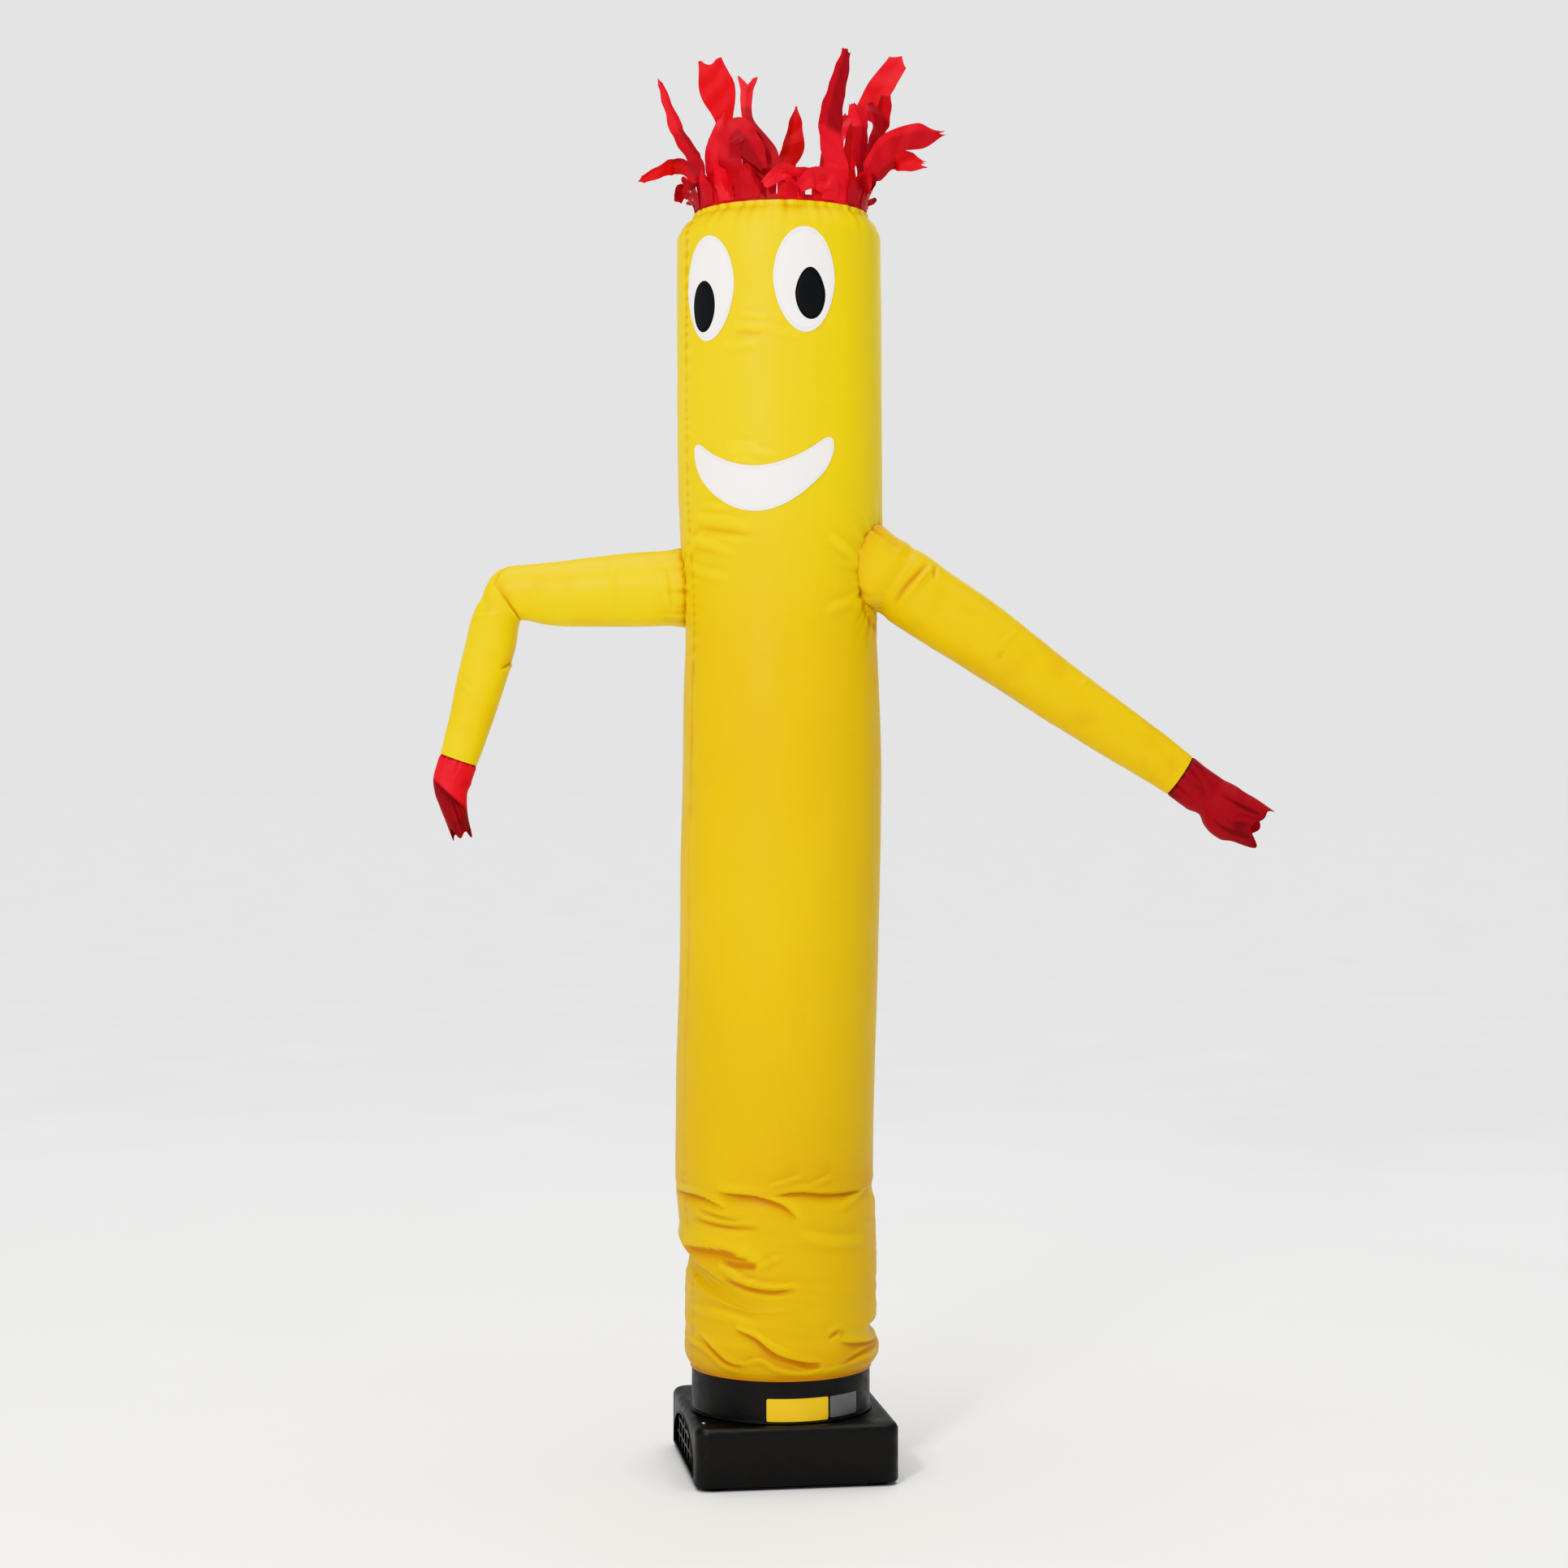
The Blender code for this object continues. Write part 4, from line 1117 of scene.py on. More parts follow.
@dataclass(frozen=True)
class Elbow:
    """Rings fanned round the inside of the bent elbow, each with its dip and half height."""

    inner: Point = (-0.5575, 0.0620, 1.8030)
    inside: float = 0.0040
    deep: float = 0.0585
    rings: tuple[tuple[float, float], ...] = (
        (4.0, 0.0592), (20.0, 0.0588), (34.0, 0.0562), (47.0, 0.0515), (61.0, 0.0480), (74.0, 0.0500),
    )

    def stations(self) -> tuple[Station, ...]:
        """The fan's rings as stations.

        Returns:
            The stations, in their order along the arm.
        """
        made = []
        for dip, up in self.rings:
            turn, reach = math.radians(dip), self.inside + up
            x = self.inner[0] - reach * math.sin(turn)
            made.append(Station(x, self.inner[1], self.inner[2] + reach * math.cos(turn), dip, up, self.deep))
        return tuple(made)


UPPER_ARM_LEFT = stations_of(
    (-150, 45, 1875, 0, 86.5, 86.5), (-213, 48, 1875, 0, 84.7, 85), (-245, 49, 1874, 1, 80.5, 81.5),
    (-300, 52, 1871.9, 1, 80, 80), (-388, 56, 1867.5, 2, 75.5, 75.5), (-493, 60, 1863, 1, 67.7, 68),
)
FOREARM_LEFT = stations_of(
    (-625, 61, 1751, 76, 53.5, 54), (-650, 58, 1656.7, 73, 50.7, 51), (-668, 52, 1586.8, 72, 46.2, 46.5),
    (-691.8, 45, 1506.4, 71, 40.7, 41),
)
ARM_RIGHT = stations_of(
    (150, -45, 1930, 33, 96, 93), (211.2, -50, 1889.8, 33.6, 92.5, 89), (247.2, -50.5, 1883, 31, 76.5, 79),
    (277, -51, 1862, 33, 79.2, 79), (305.6, -52, 1842, 33.5, 78.4, 78), (391.4, -55, 1786, 35, 76.2, 76),
    (502.9, -60, 1707.1, 35.5, 69.3, 69.5), (590.4, -65, 1643.6, 35, 63.6, 64),
    (679.6, -70, 1582.7, 34.5, 58.7, 59), (770.6, -75, 1520.9, 34.5, 52.9, 53),
    (838.3, -80, 1472.9, 34, 47.6, 48),
)
HAND_LEFT = stations_of(
    (-691.9, 45, 1506.1, 71, 40.5, 41), (-704.5, 43, 1461, 82, 41, 38), (-706.6, 42, 1438.3, 92, 36, 35),
    (-702.3, 41, 1408.6, 101, 29, 31), (-693.6, 40, 1377.1, 106, 24.5, 29),
    (-685, 39, 1348.5, 107, 22.5, 28),
)
HAND_RIGHT = stations_of(
    (838.6, -80.1, 1472.7, 34, 47.4, 48), (881, -83, 1441, 33.4, 47, 44), (904, -84.5, 1428, 33.4, 44, 40),
    (918, -85.5, 1412, 33.4, 51.5, 42), (934, -87, 1398, 33.4, 56, 43), (956, -88, 1383.5, 33.4, 56, 42),
    (977, -89, 1374, 33.4, 52.5, 40), (998, -90, 1363, 33.4, 49, 38),
)


@dataclass(frozen=True)
class Sleeve:
    """A blown-up sleeve or cuff along its stations.

    The angle round it is measured from its upper side, at the back first on the left arm and at the
    front first on the right arm. Its colour is deeper at its root, partly for the doubled seam and partly
    as painted shade; turned holds the middle and the swing of a slanting line, beyond which the cloth
    turns over and is darkened as painted shade; a shaded sleeve is darkened all over as painted shade.
    """

    name: str
    node: str
    side: int
    stations: tuple[Station, ...]
    creases: tuple[Crease, ...]
    finish: ClothFinish
    root: TubeForm | None
    rests_on: str
    sides: int
    rows: int
    slack: float
    rag: float = 0.0
    pucker: float = 0.0012
    thickness: float = 0.0
    painted_dim: float = 0.0
    root_seam_and_shade: float = 0.0
    turned: tuple[float, float] | None = None

    def lengths(self) -> Array:
        """How far along the sleeve each station is."""
        return lengths_along(np.array([(s.x, s.y, s.z) for s in self.stations]))

    def place(self, turn: Array, along: Array, lift: Array | float = 0.0) -> Array:
        """Points on the sleeve.

        Args:
            turn: Their angles round it, in radians.
            along: How far along it they are.
            lift: How far off the smooth sleeve they are.

        Returns:
            The points.
        """
        knots = self.lengths()
        got = {
            field: smooth_curve(knots, np.array([getattr(s, field) for s in self.stations]), along)
            for field in ("x", "y", "z", "dip", "up", "deep")
        }
        dip = np.radians(got["dip"])
        up = (got["up"] + lift) * np.cos(turn)
        x = got["x"] + self.side * np.sin(dip) * up
        z = got["z"] + np.cos(dip) * up
        y = got["y"] - self.side * (got["deep"] + lift) * np.sin(turn)
        tear = self.rag * ease((along - 0.72 * knots[-1]) / (0.28 * knots[-1])) * self.torn(turn)
        return np.stack([x + self.side * np.cos(dip) * tear, y, z - np.sin(dip) * tear], axis=-1)

    def torn(self, turn: Array) -> Array:
        """How far the ragged end reaches at each angle, in rags."""
        return np.sin(3.0 * turn + 0.6) + 0.7 * np.sin(5.0 * turn + 2.0)

    def starts(self, turn: Array) -> Array:
        """Where each line along the sleeve comes out of what it is sewn to.

        Args:
            turn: The lines' angles, in radians.

        Returns:
            How far along the sleeve each comes out.
        """
        if self.root is None:
            return np.zeros(len(turn))
        along = np.linspace(0.0, 0.22, 441)
        found = []
        for angle in turn:
            out = self.root.outside(self.place(np.full(len(along), angle), along))
            inside = np.nonzero(out < 0.0)[0]
            found.append(along[inside[-1] if len(inside) else 0])
        return np.array(found)

    def relief(self, turn: Array, along: Array, away: Array) -> Array:
        """How far creases, puckers and slack lift the sleeve.

        Args:
            turn: The angles in radians.
            along: How far along the sleeve.
            away: How far from the seam at its root.

        Returns:
            The lift in metres.
        """
        degrees = np.degrees(turn)
        lift = sum((crease.relief(degrees, along, 0.0011) for crease in self.creases), np.zeros(turn.shape))
        spot = self.place(turn, along)
        lift = lift + self.slack * rumple(spot, 11.0, 2) + 0.45 * self.slack * rumple(spot + 5.0, 30.0, 3)
        waves = np.cos(13 * turn + 0.4) + 0.8 * np.cos(21 * turn + 1.9) + 0.7 * np.cos(31 * turn)
        near = np.exp(-away / 0.024)
        return lift + self.pucker * near * waves - 0.0030 * bell(away, 0.005)

    def build(self) -> bpy.types.Object:
        """Makes the sleeve.

        Returns:
            The sleeve.
        """
        total = self.lengths()[-1]
        turn = np.linspace(0.0, math.tau, self.sides + 1)[:-1]
        start = self.starts(turn)
        share = np.linspace(0.0, 1.0, self.rows)
        along = start[None, :] + (total - start[None, :]) * share[:, None]
        turns = np.broadcast_to(turn, along.shape)
        away = along - start[None, :]
        relief = self.relief(turns, along, away)
        points = self.place(turns, along, relief)
        wide = 2.0 * math.pi * float(np.mean([s.up for s in self.stations]))
        flat = np.stack(np.meshgrid(np.linspace(0.0, wide, self.sides + 1), share * total), axis=-1)
        # Painted shade in the creases and all over a shaded sleeve; at the root it stands for the doubled
        # seam and for painted shade.
        painted_shade = np.clip(-relief / 0.006, 0.0, 0.6) + self.painted_dim + self.root_seam_and_shade * bell(away, 0.022)
        # Painted shade beyond the slanting line.
        if self.turned is not None:
            line = self.turned[0] - self.turned[1] * np.cos(turns)
            painted_shade = painted_shade + 0.75 * ease((along - line) / 0.006)
        piece = grid_piece(self.name, points, flat, self.finish, True, painted_shade)
        if self.thickness:
            thicken(piece, self.thickness)
        register(piece, self.finish, self.node)
        return piece


# Creases of the sleeves and cuffs, as angle and how far along each line.
ARM_LEFT_CREASES = creases_of(
    (LAP, 4.6, 7, 180, 448, 215, 446, 260, 447, 312, 449),
    (TROUGH, 2.6, 5, 306, 449, 330, 434, 356, 416),
    (RIDGE, 2.2, 6, 250, 480, 300, 497, 335, 505),
    (LAP, 5, 6, 168, 578, 196, 586, 224, 600),
    (RIDGE, 1.8, 7, 322, 196, 290, 206, 228, 214),
    (TROUGH, 1.8, 6, 300, 92, 268, 86, 236, 82),
    (RIDGE, 1.6, 6, 330, 640, 300, 652, 282, 660),
    (RIDGE, 1.6, 7, 40, 200, 80, 212, 120, 206),
    (LAP, 3.4, 7, 60, 450, 110, 447, 170, 448),
)
ARM_RIGHT_CREASES = creases_of(
    (RIDGE, 4.2, 6, 34, 158, 60, 152, 95, 146, 138, 141),
    (TROUGH, 3.4, 6, 40, 144, 70, 137, 100, 131, 134, 127),
    (TROUGH, 3, 5, 28, 158, 42, 164, 58, 172),
    (RIDGE, 2.4, 6, 60, 118, 92, 112, 124, 110),
    (RIDGE, 1.8, 6, 101, 361, 70, 369, 42, 377),
    (TROUGH, 1.6, 6, 112, 372, 90, 378),
    (RIDGE, 1.4, 7, 30, 560, 60, 548),
    (RIDGE, 2.6, 7, 200, 150, 250, 156, 300, 150),
)
HAND_LEFT_CREASES = creases_of(
    (LAP, 4.4, 5, 330, 46, 300, 59, 270, 76, 240, 93, 200, 108),
    (RIDGE, 2, 5, 250, 20, 262, 46, 256, 70),
    (TROUGH, 3.2, 5, 262, 90, 256, 120, 250, 158),
    (RIDGE, 2.8, 5, 300, 78, 296, 120, 300, 158),
    (RIDGE, 2.6, 5, 222, 110, 226, 135, 222, 160),
)
HAND_RIGHT_CREASES = creases_of(
    (RIDGE, 1.8, 7, 52, 10, 70, 50, 96, 74),
    (RIDGE, 3, 6, 100, 80, 95, 140, 85, 190),
    (TROUGH, 3, 6, 70, 90, 64, 140, 60, 185),
    (TROUGH, 2.6, 6, 130, 90, 128, 140, 122, 185),
)


@dataclass(frozen=True)
class Arms:
    """Both arms, the left one hanging from its elbow, with their cuffs, which end ragged."""

    form: TubeForm

    def build(self) -> list[bpy.types.Object]:
        """Makes the sleeves and the cuffs.

        Returns:
            The sleeves and the cuffs.
        """
        arm = {"finish": YELLOW_CLOTH, "root": self.form, "rests_on": "tube_cloth", "sides": 112}
        # The roots are darker, partly for the doubled seam and partly as painted shade.
        arm |= {"slack": 0.0008, "root_seam_and_shade": 0.2}
        cuff = {"finish": RED_CLOTH, "root": None, "sides": 84, "rows": 64}
        cuff |= {"slack": 0.0016, "pucker": 0.0010, "thickness": 0.0008}
        bent = UPPER_ARM_LEFT + Elbow().stations() + FOREARM_LEFT
        # The right arm and the right hand are darkened all over as painted shade.
        sleeves = (
            Sleeve("arm_left_cloth", "arm_left", -1, bent, ARM_LEFT_CREASES, rows=330, **arm),
            Sleeve(
                "arm_right_cloth", "arm_right", 1, ARM_RIGHT, ARM_RIGHT_CREASES, rows=310, painted_dim=0.27, **arm
            ),
            Sleeve(
                "hand_left_cloth", "hand_left", -1, HAND_LEFT, HAND_LEFT_CREASES,
                rests_on="arm_left_cloth", rag=0.009, turned=(0.0760, 0.0341), **cuff,
            ),
            Sleeve(
                "hand_right_cloth", "hand_right", 1, HAND_RIGHT, HAND_RIGHT_CREASES,
                rests_on="arm_right_cloth", rag=0.012, painted_dim=0.68, **cuff,
            ),
        )
        return [sleeve.build() for sleeve in sleeves]


# ---------------------------------------------------------------- face


# The points of one stitch: how far along its row they are, and how far over its groove.
STITCH_RUN = np.array([0.0, 0.0009, 0.0024, 0.0034])
STITCH_LIFT = np.array([-0.0004, 0.0005, 0.0005, -0.0004])


@dataclass(frozen=True)
class Patch:
    """A piece of cloth sewn flat on the tube, with its edge turned under and a row of stitches."""

    name: str
    node: str
    finish: ClothFinish
    rests_on: str
    base: float = 0.0006
    thickness: float = 0.0014
    stitch_inset: float = 0.0045
    stitch_step: float = 0.0052
    around: int = 168
    insets: tuple[float, ...] = (0.0, 0.0005, 0.0012, 0.0024, 0.0036, 0.0045, 0.0054, 0.0070)
    edge_round: float = 0.0012
    groove_depth: float = 0.0006
    groove_width: float = 0.0011
    thread: float = 0.00042

    def outline(self, share: Array, turn: Array) -> tuple[Array, Array]:
        """Angles and heights at this share of the way out from the middle."""
        raise NotImplementedError

    def size(self) -> float:
        """The patch's smallest half size."""
        raise NotImplementedError

    def section(self, away: Array) -> tuple[Array, Array]:
        """The patch across its turned edge and its stitches.

        Args:
            away: How far inside its edge.

        Returns:
            How far it stands off the tube there, and its painted shade at the edge and in the groove of the
            stitches.
        """
        rise = self.thickness * np.sqrt(1.0 - (1.0 - np.clip(away / self.edge_round, 0.0, 1.0)) ** 2)
        groove = self.groove_depth * bell(away - self.stitch_inset, self.groove_width)
        lift = self.base + rise - groove + 0.0004 * np.clip(away / 0.02, 0.0, 1.0)
        # Painted shade along the turned edge and in the stitches' groove.
        return lift, 0.6 * bell(away, 0.0009) + 420 * groove

    def build(self, form: TubeForm) -> bpy.types.Object:
        """Makes the patch on the tube.

        Args:
            form: The tube's shape.

        Returns:
            The patch.
        """
        inset = np.array([*self.insets, 0.0100])
        size = self.size()
        share = np.concatenate([1.0 - inset / size, np.linspace(1.0 - 0.016 / size, 0.03, 20)])
        lift, depth = self.section((1.0 - share) * size)
        turns = np.linspace(0.0, math.tau, self.around + 1)[:-1]
        turn, out = np.meshgrid(turns, share)
        degrees, height = self.outline(out, turn)
        points, _ = form.place(degrees, height, lift[:, None])
        flat = np.stack([degrees * form.degree, height], axis=-1)
        flat = np.concatenate([flat, flat[:, :1]], axis=1)
        # Painted shade, the same all round each ring.
        painted_shade = np.broadcast_to(depth[:, None], turn.shape)
        piece = grid_piece(self.name, points, flat, self.finish, True, painted_shade)
        close_end(piece, (len(share) - 1) * self.around, self.around)
        self.sew(piece, form, 1.0 - self.stitch_inset / size)
        register(piece, self.finish, self.node)
        return piece

    def sew(self, piece: bpy.types.Object, form: TubeForm, share: float) -> None:
        """Adds the stitches to the patch's mesh.

        Args:
            piece: The patch.
            form: The tube's shape.
            share: How far out from the middle they run.
        """
        count = 4000
        degrees, height = self.outline(np.full(count, share), np.linspace(0.0, math.tau, count))
        travelled = lengths_along(np.stack([degrees * form.degree, height], axis=-1))
        stitches = int(travelled[-1] / self.stitch_step)
        lift = STITCH_LIFT + self.base + self.thickness - 0.0002
        with opened(piece.data) as work:
            for k in range(stitches):
                along = k * travelled[-1] / stitches + STITCH_RUN
                spots = np.interp(along, travelled, degrees), np.interp(along, travelled, height)
                add_thread(work, form.place(*spots, lift)[0], self.thread)


def add_thread(work: bmesh.types.BMesh, line: Array, radius: float, sides: int = 5) -> None:
    """Adds one stitch, a short rounded thread.

    Args:
        work: The mesh.
        line: The points it runs through.
        radius: The thread's radius.
        sides: How many sides it has.
    """
    rings = []
    last = len(line) - 1
    for k, spot in enumerate(line):
        heading = Vector(line[min(k + 1, last)] - line[max(k - 1, 0)]).normalized()
        out = Vector((spot[0], spot[1], 0.0)).normalized()
        side = heading.cross(out).normalized()
        size = radius * (0.35 if k in (0, last) else 1.0)
        turns = [math.tau * j / sides for j in range(sides)]
        ring = [side * math.cos(turn) + out * math.sin(turn) for turn in turns]
        rings.append([work.verts.new(Vector(spot) + step * size) for step in ring])
    for low, high in zip(rings, rings[1:]):
        for j in range(sides):
            after = (j + 1) % sides
            work.faces.new((low[j], high[j], high[after], low[after])).smooth = True


@dataclass(frozen=True)
class OvalPatch(Patch):
    """A sewn-on oval, a little narrower in its lower or its upper half."""

    angle: float = 0.0
    height: float = 0.0
    half_wide: float = 0.0
    half_tall: float = 0.0
    narrowing: float = 0.0
    peak: float = 0.0
    bend: float = 0.2175

    def outline(self, share: Array, turn: Array) -> tuple[Array, Array]:
        """The oval's angles and heights.

        Args:
            share: How far out from the middle, from 0 to 1.
            turn: How far round, in radians.

        Returns:
            The angles and the heights.
        """
        climb = np.sin(turn)
        narrow = self.peak * np.maximum(climb, 0.0) - self.narrowing * np.minimum(climb, 0.0)
        half = self.half_wide * np.cos(turn) * (1.0 - narrow)
        return self.angle + np.degrees(share * half / self.bend), self.height + share * self.half_tall * climb

    def size(self) -> float:
        """The oval's smaller half size."""
        return self.half_wide


@dataclass(frozen=True)
class CrescentPatch(Patch):
    """The smile: a crescent that is deep at its middle, with two blunt round tips."""

    angle: float = -11.8
    half_deg: float = 42.7
    tips: float = 2.1500
    lean: float = 0.0049
    upper_sag: float = 0.0710
    upper_curve: float = 1.88
    lower_sag: float = 0.1030
    lower_curves: tuple[float, float] = (2.09, 1.85)
    tip_half: float = 0.0310
    rounding: float = 0.17
    stitched: float = 0.982
    border: float = 0.36
    columns: int = 260

    def edges(self, share: Array) -> tuple[Array, Array]:
        """The heights of the crescent's lower and upper edge.

        Args:
            share: Where along it, from -1 at its left tip to 1 at its right one.

        Returns:
            The lower and the upper edge's heights.
        """
        far = np.abs(share)
        round_tip = np.sqrt(1.0 - np.clip((far - 1.0) / self.rounding + 1.0, 0.0, 1.0) ** 2)
        tip = self.tips + self.lean * share
        curve = np.where(share > 0.0, self.lower_curves[1], self.lower_curves[0])
        upper = tip - self.upper_sag * (1.0 - far**self.upper_curve) + self.tip_half * round_tip
        lower = tip - self.lower_sag * (1.0 - far**curve) - self.tip_half * round_tip
        return lower, upper

    def build(self, form: TubeForm) -> bpy.types.Object:
        """Makes the crescent on the tube.

        Args:
            form: The tube's shape.

        Returns:
            The crescent.
        """
        share = np.sin(np.linspace(-math.pi / 2, math.pi / 2, self.columns))
        lower, upper = self.edges(share)
        tall = np.maximum(upper - lower, 1e-5)
        step = np.minimum(np.array(self.insets)[:, None], self.border * tall)
        middle = lower + tall * np.linspace(0.0, 1.0, 16)[1:-1, None]
        rows = [lower + step, np.clip(middle, lower + step[-1], upper - step[-1]), upper - step]
        height = np.sort(np.concatenate(rows), axis=0)
        side = (1.0 - np.abs(share)) * self.half_deg * form.degree
        lift, painted_shade = self.section(np.minimum(np.minimum(height - lower, upper - height), side))
        degrees = np.broadcast_to(self.angle + self.half_deg * share, height.shape)
        points, _ = form.place(degrees, height, lift)
        flat = np.stack([degrees * form.degree, height], axis=-1)
        piece = grid_piece(self.name, points, flat, self.finish, False, painted_shade)
        self.sew(piece, form, 1.0)
        register(piece, self.finish, self.node)
        return piece

    def outline(self, share: Array, turn: Array) -> tuple[Array, Array]:
        """The line of the stitches, all the way round the crescent.

        Args:
            share: Not needed for the one line of the stitches.
            turn: How far round it, in radians.

        Returns:
            The angles and the heights.
        """
        along = -np.cos(turn)
        lower, upper = self.edges(along)
        inset = np.minimum(self.stitch_inset, self.border * (upper - lower))
        height = np.where(turn <= math.pi, lower + inset, upper - inset)
        return self.angle + self.half_deg * self.stitched * along, height


@dataclass(frozen=True)
class Face:
    """The eyes, the pupils and the mouth."""

    form: TubeForm

    def build(self) -> list[bpy.types.Object]:
        """Makes the face's five patches.

        Returns:
            The patches.
        """
        eye = {"finish": WHITE_CLOTH, "rests_on": "tube_cloth", "half_wide": 0.0670, "narrowing": 0.10}
        pupil = {"finish": BLACK_CLOTH, "base": 0.0024, "thickness": 0.0013, "around": 132}
        pupil |= {"stitch_inset": 0.0038, "stitch_step": 0.0048}
        patches = (
            OvalPatch("eye_left_patch", "eye_left", angle=-42.6, height=2.4830, half_tall=0.1100, **eye),
            OvalPatch("eye_right_patch", "eye_right", angle=14.4, height=2.4935, half_tall=0.1095, **eye),
            OvalPatch(
                "pupil_left_patch", "pupil_left", rests_on="eye_left_patch",
                angle=-45.4, height=2.4460, half_wide=0.0315, half_tall=0.0535, **pupil,
            ),
            OvalPatch(
                "pupil_right_patch", "pupil_right", rests_on="eye_right_patch",
                angle=17.3, height=2.4650, half_wide=0.0325, half_tall=0.0540, peak=0.16, **pupil,
            ),
            CrescentPatch("mouth_patch", "mouth", WHITE_CLOTH, "tube_cloth"),
        )
        return [patch.build(self.form) for patch in patches]


# ---------------------------------------------------------------- crown of streamers


@dataclass(frozen=True)
class Streamer:
    """One ribbon of the crown.

    root is its angle on the seam; low and high are points that it runs through on its way to its tip;
    wide holds its widths at those points, before the tip and at it; turn is how far its face turns,
    curl how far its middle stands out, rag how ragged its tip is, fork how deep its tip is cut, or how
    far it is rounded where that is negative; shade and upper are the painted shade of its colour below
    and above its last kink; out is how far outside the strip it starts.
    """

    root: float
    low: Point
    high: Point
    tip: Point
    wide: tuple[float, float, float, float]
    turn: float
    curl: float
    rag: float
    fork: float
    shade: float
    upper: float
    out: float = 0.0


def streamers_of(*rows: tuple[Any, ...]) -> tuple[Streamer, ...]:
    """Streamers from rows of their fields, all lengths in millimetres.

    Args:
        rows: The fields in their order, where out may be left off.

    Returns:
        The streamers.
    """
    made = []
    for root, low, high, tip, wide, turn, curl, rag, fork, shade, upper, *out in rows:
        points = [tuple(value / 1000 for value in row) for row in (low, high, tip, wide)]
        start = out[0] / 1000 if out else 0.0
        made.append(Streamer(root, *points, turn, curl, rag / 1000, fork / 1000, shade, upper, start))
    return tuple(made)


STRIP_HIGH = 2.675  # the height of the strip's upper edge

# In each row, the two numbers after fork are the streamer's painted shade below and above its last kink.
COMBS = {
    "hair_back_left": streamers_of(
        (-163, (-60, 190, 2790), (-70, 215, 2845), (-95, 245, 2890), (50, 44, 32, 20),
         20, 0.05, 3, 0, 0.6, 0.4),
        (-141, (-138, 130, 2805), (-122, 90, 2880), (-152, 30, 3006), (40, 36, 78, 52),
         -42, 0.05, 3, 8, 0.3, -0.15),
        (-121, (-165, 110, 2765), (-185, 135, 2810), (-205, 165, 2835), (44, 36, 28, 18),
         30, 0.05, 3, 0, 0.6, 0.4),
    ),
    "hair_left": streamers_of(
        (-102, (-190, 50, 2705), (-211, 58, 2735), (-222, 65, 2708), (36, 30, 26, 18),
         40, 0.08, 2, 0, 0.7, 0.5),
        (-84, (-175, -28, 2728), (-218, -35, 2763), (-292, -40, 2734), (46, 50, 26, 18),
         66, 0.06, 0, -7, 0.5, 0.2),
        (-66, (-173, -88, 2751), (-214, -100, 2817), (-253, -100, 2922), (52, 40, 24, 14),
         34, 0.05, 0, -8, 0.7, 0.3),
    ),
    "hair_front_left": streamers_of(
        (-46, (-128, -142, 2735), (-115, -160, 2782), (-80, -172, 2748), (50, 50, 40, 26),
         15, 0.06, 2, 0, 0.3, 0.6),
        (-28, (-106, -185, 2752), (-88, -195, 2802), (-34, -202, 2722), (56, 62, 54, 18),
         -10, 0.05, 2, 0, 0.65, 0.75),
        (-9, (-40, -160, 2752), (-70, -138, 2846), (-69, -120, 2933), (74, 22, 26, 42),
         5, 0.04, 2, 12, 0.65, 0.15),
    ),
    "hair_front_right": streamers_of(
        (10, (30, -196, 2702), (5, -206, 2716), (-35, -206, 2688), (38, 34, 28, 18), 20, 0.06, 2, 0, 0.1, 0),
        (27, (74, -182, 2706), (48, -190, 2716), (10, -190, 2722), (34, 28, 20, 12),
         30, 0.06, 2, 0, 0.3, 0.2),
        (44, (116, -140, 2740), (105, -120, 2838), (139, -80, 2998), (72, 68, 46, 26),
         5, 0.05, 3, -2, -0.1, 0.72),
    ),
    "hair_right": streamers_of(
        (65, (188, -80, 2745), (232, -82, 2803), (338, -70, 2826), (44, 46, 54, 10),
         -58, 0.06, 12, 0, 0.3, 0.45),
        (83, (198, -30, 2735), (236, -32, 2775), (306, -30, 2768), (46, 50, 42, 14),
         -62, 0.06, 10, 0, 0.5, -0.05),
        (101, (181, 40, 2788), (214, 40, 2857), (226, 30, 2928), (44, 40, 36, 24), 50, 0.05, 2, 0, 0.75, 0.7),
    ),
    "hair_back_right": streamers_of(
        (121, (150, 100, 2799), (172, 88, 2890), (252, 62, 3008), (40, 38, 54, 44),
         56, 0.05, 0, -10, 0.6, -0.1),
        (147, (105, 165, 2800), (120, 190, 2870), (150, 215, 2930), (48, 44, 36, 20),
         20, 0.05, 3, 0, 0.6, 0.5),
        (171, (11, 182, 2800), (28, 170, 2852), (34, 150, 2934), (40, 48, 30, 4), 10, 0.06, 1, 0, 0.6, 0.45),
    ),
}

# Short ends that fall over the seam: each one's angle, how many degrees it leans, its height over the strip
# and its width in millimetres, and its painted shade.
FLAPS = {
    "hair_back_left": ((-152, 6, 30, 40, 0.6), (-131, -7, 30, 40, 0.5), (-172, 5, 30, 40, 0.6)),
    "hair_left": ((-112, 5, 30, 40, 0.6), (-93, -6, 40, 40, 0.5), (-75, 6, 50, 45, 0.7)),
    "hair_front_left": ((-56, 12, 45, 40, 0.5), (-38, 7, 52, 56, 0), (-20, 9, 42, 52, 0.55)),
    "hair_front_right": ((4, 7, 30, 46, 0.35), (34, -26, 30, 52, -0.1), (55, 8, 45, 42, 0.65)),
    "hair_right": ((73, -6, 45, 42, 0.7), (110, -6, 30, 40, 0.6)),
    "hair_back_right": ((134, 6, 30, 40, 0.5), (159, -7, 30, 40, 0.6)),
}

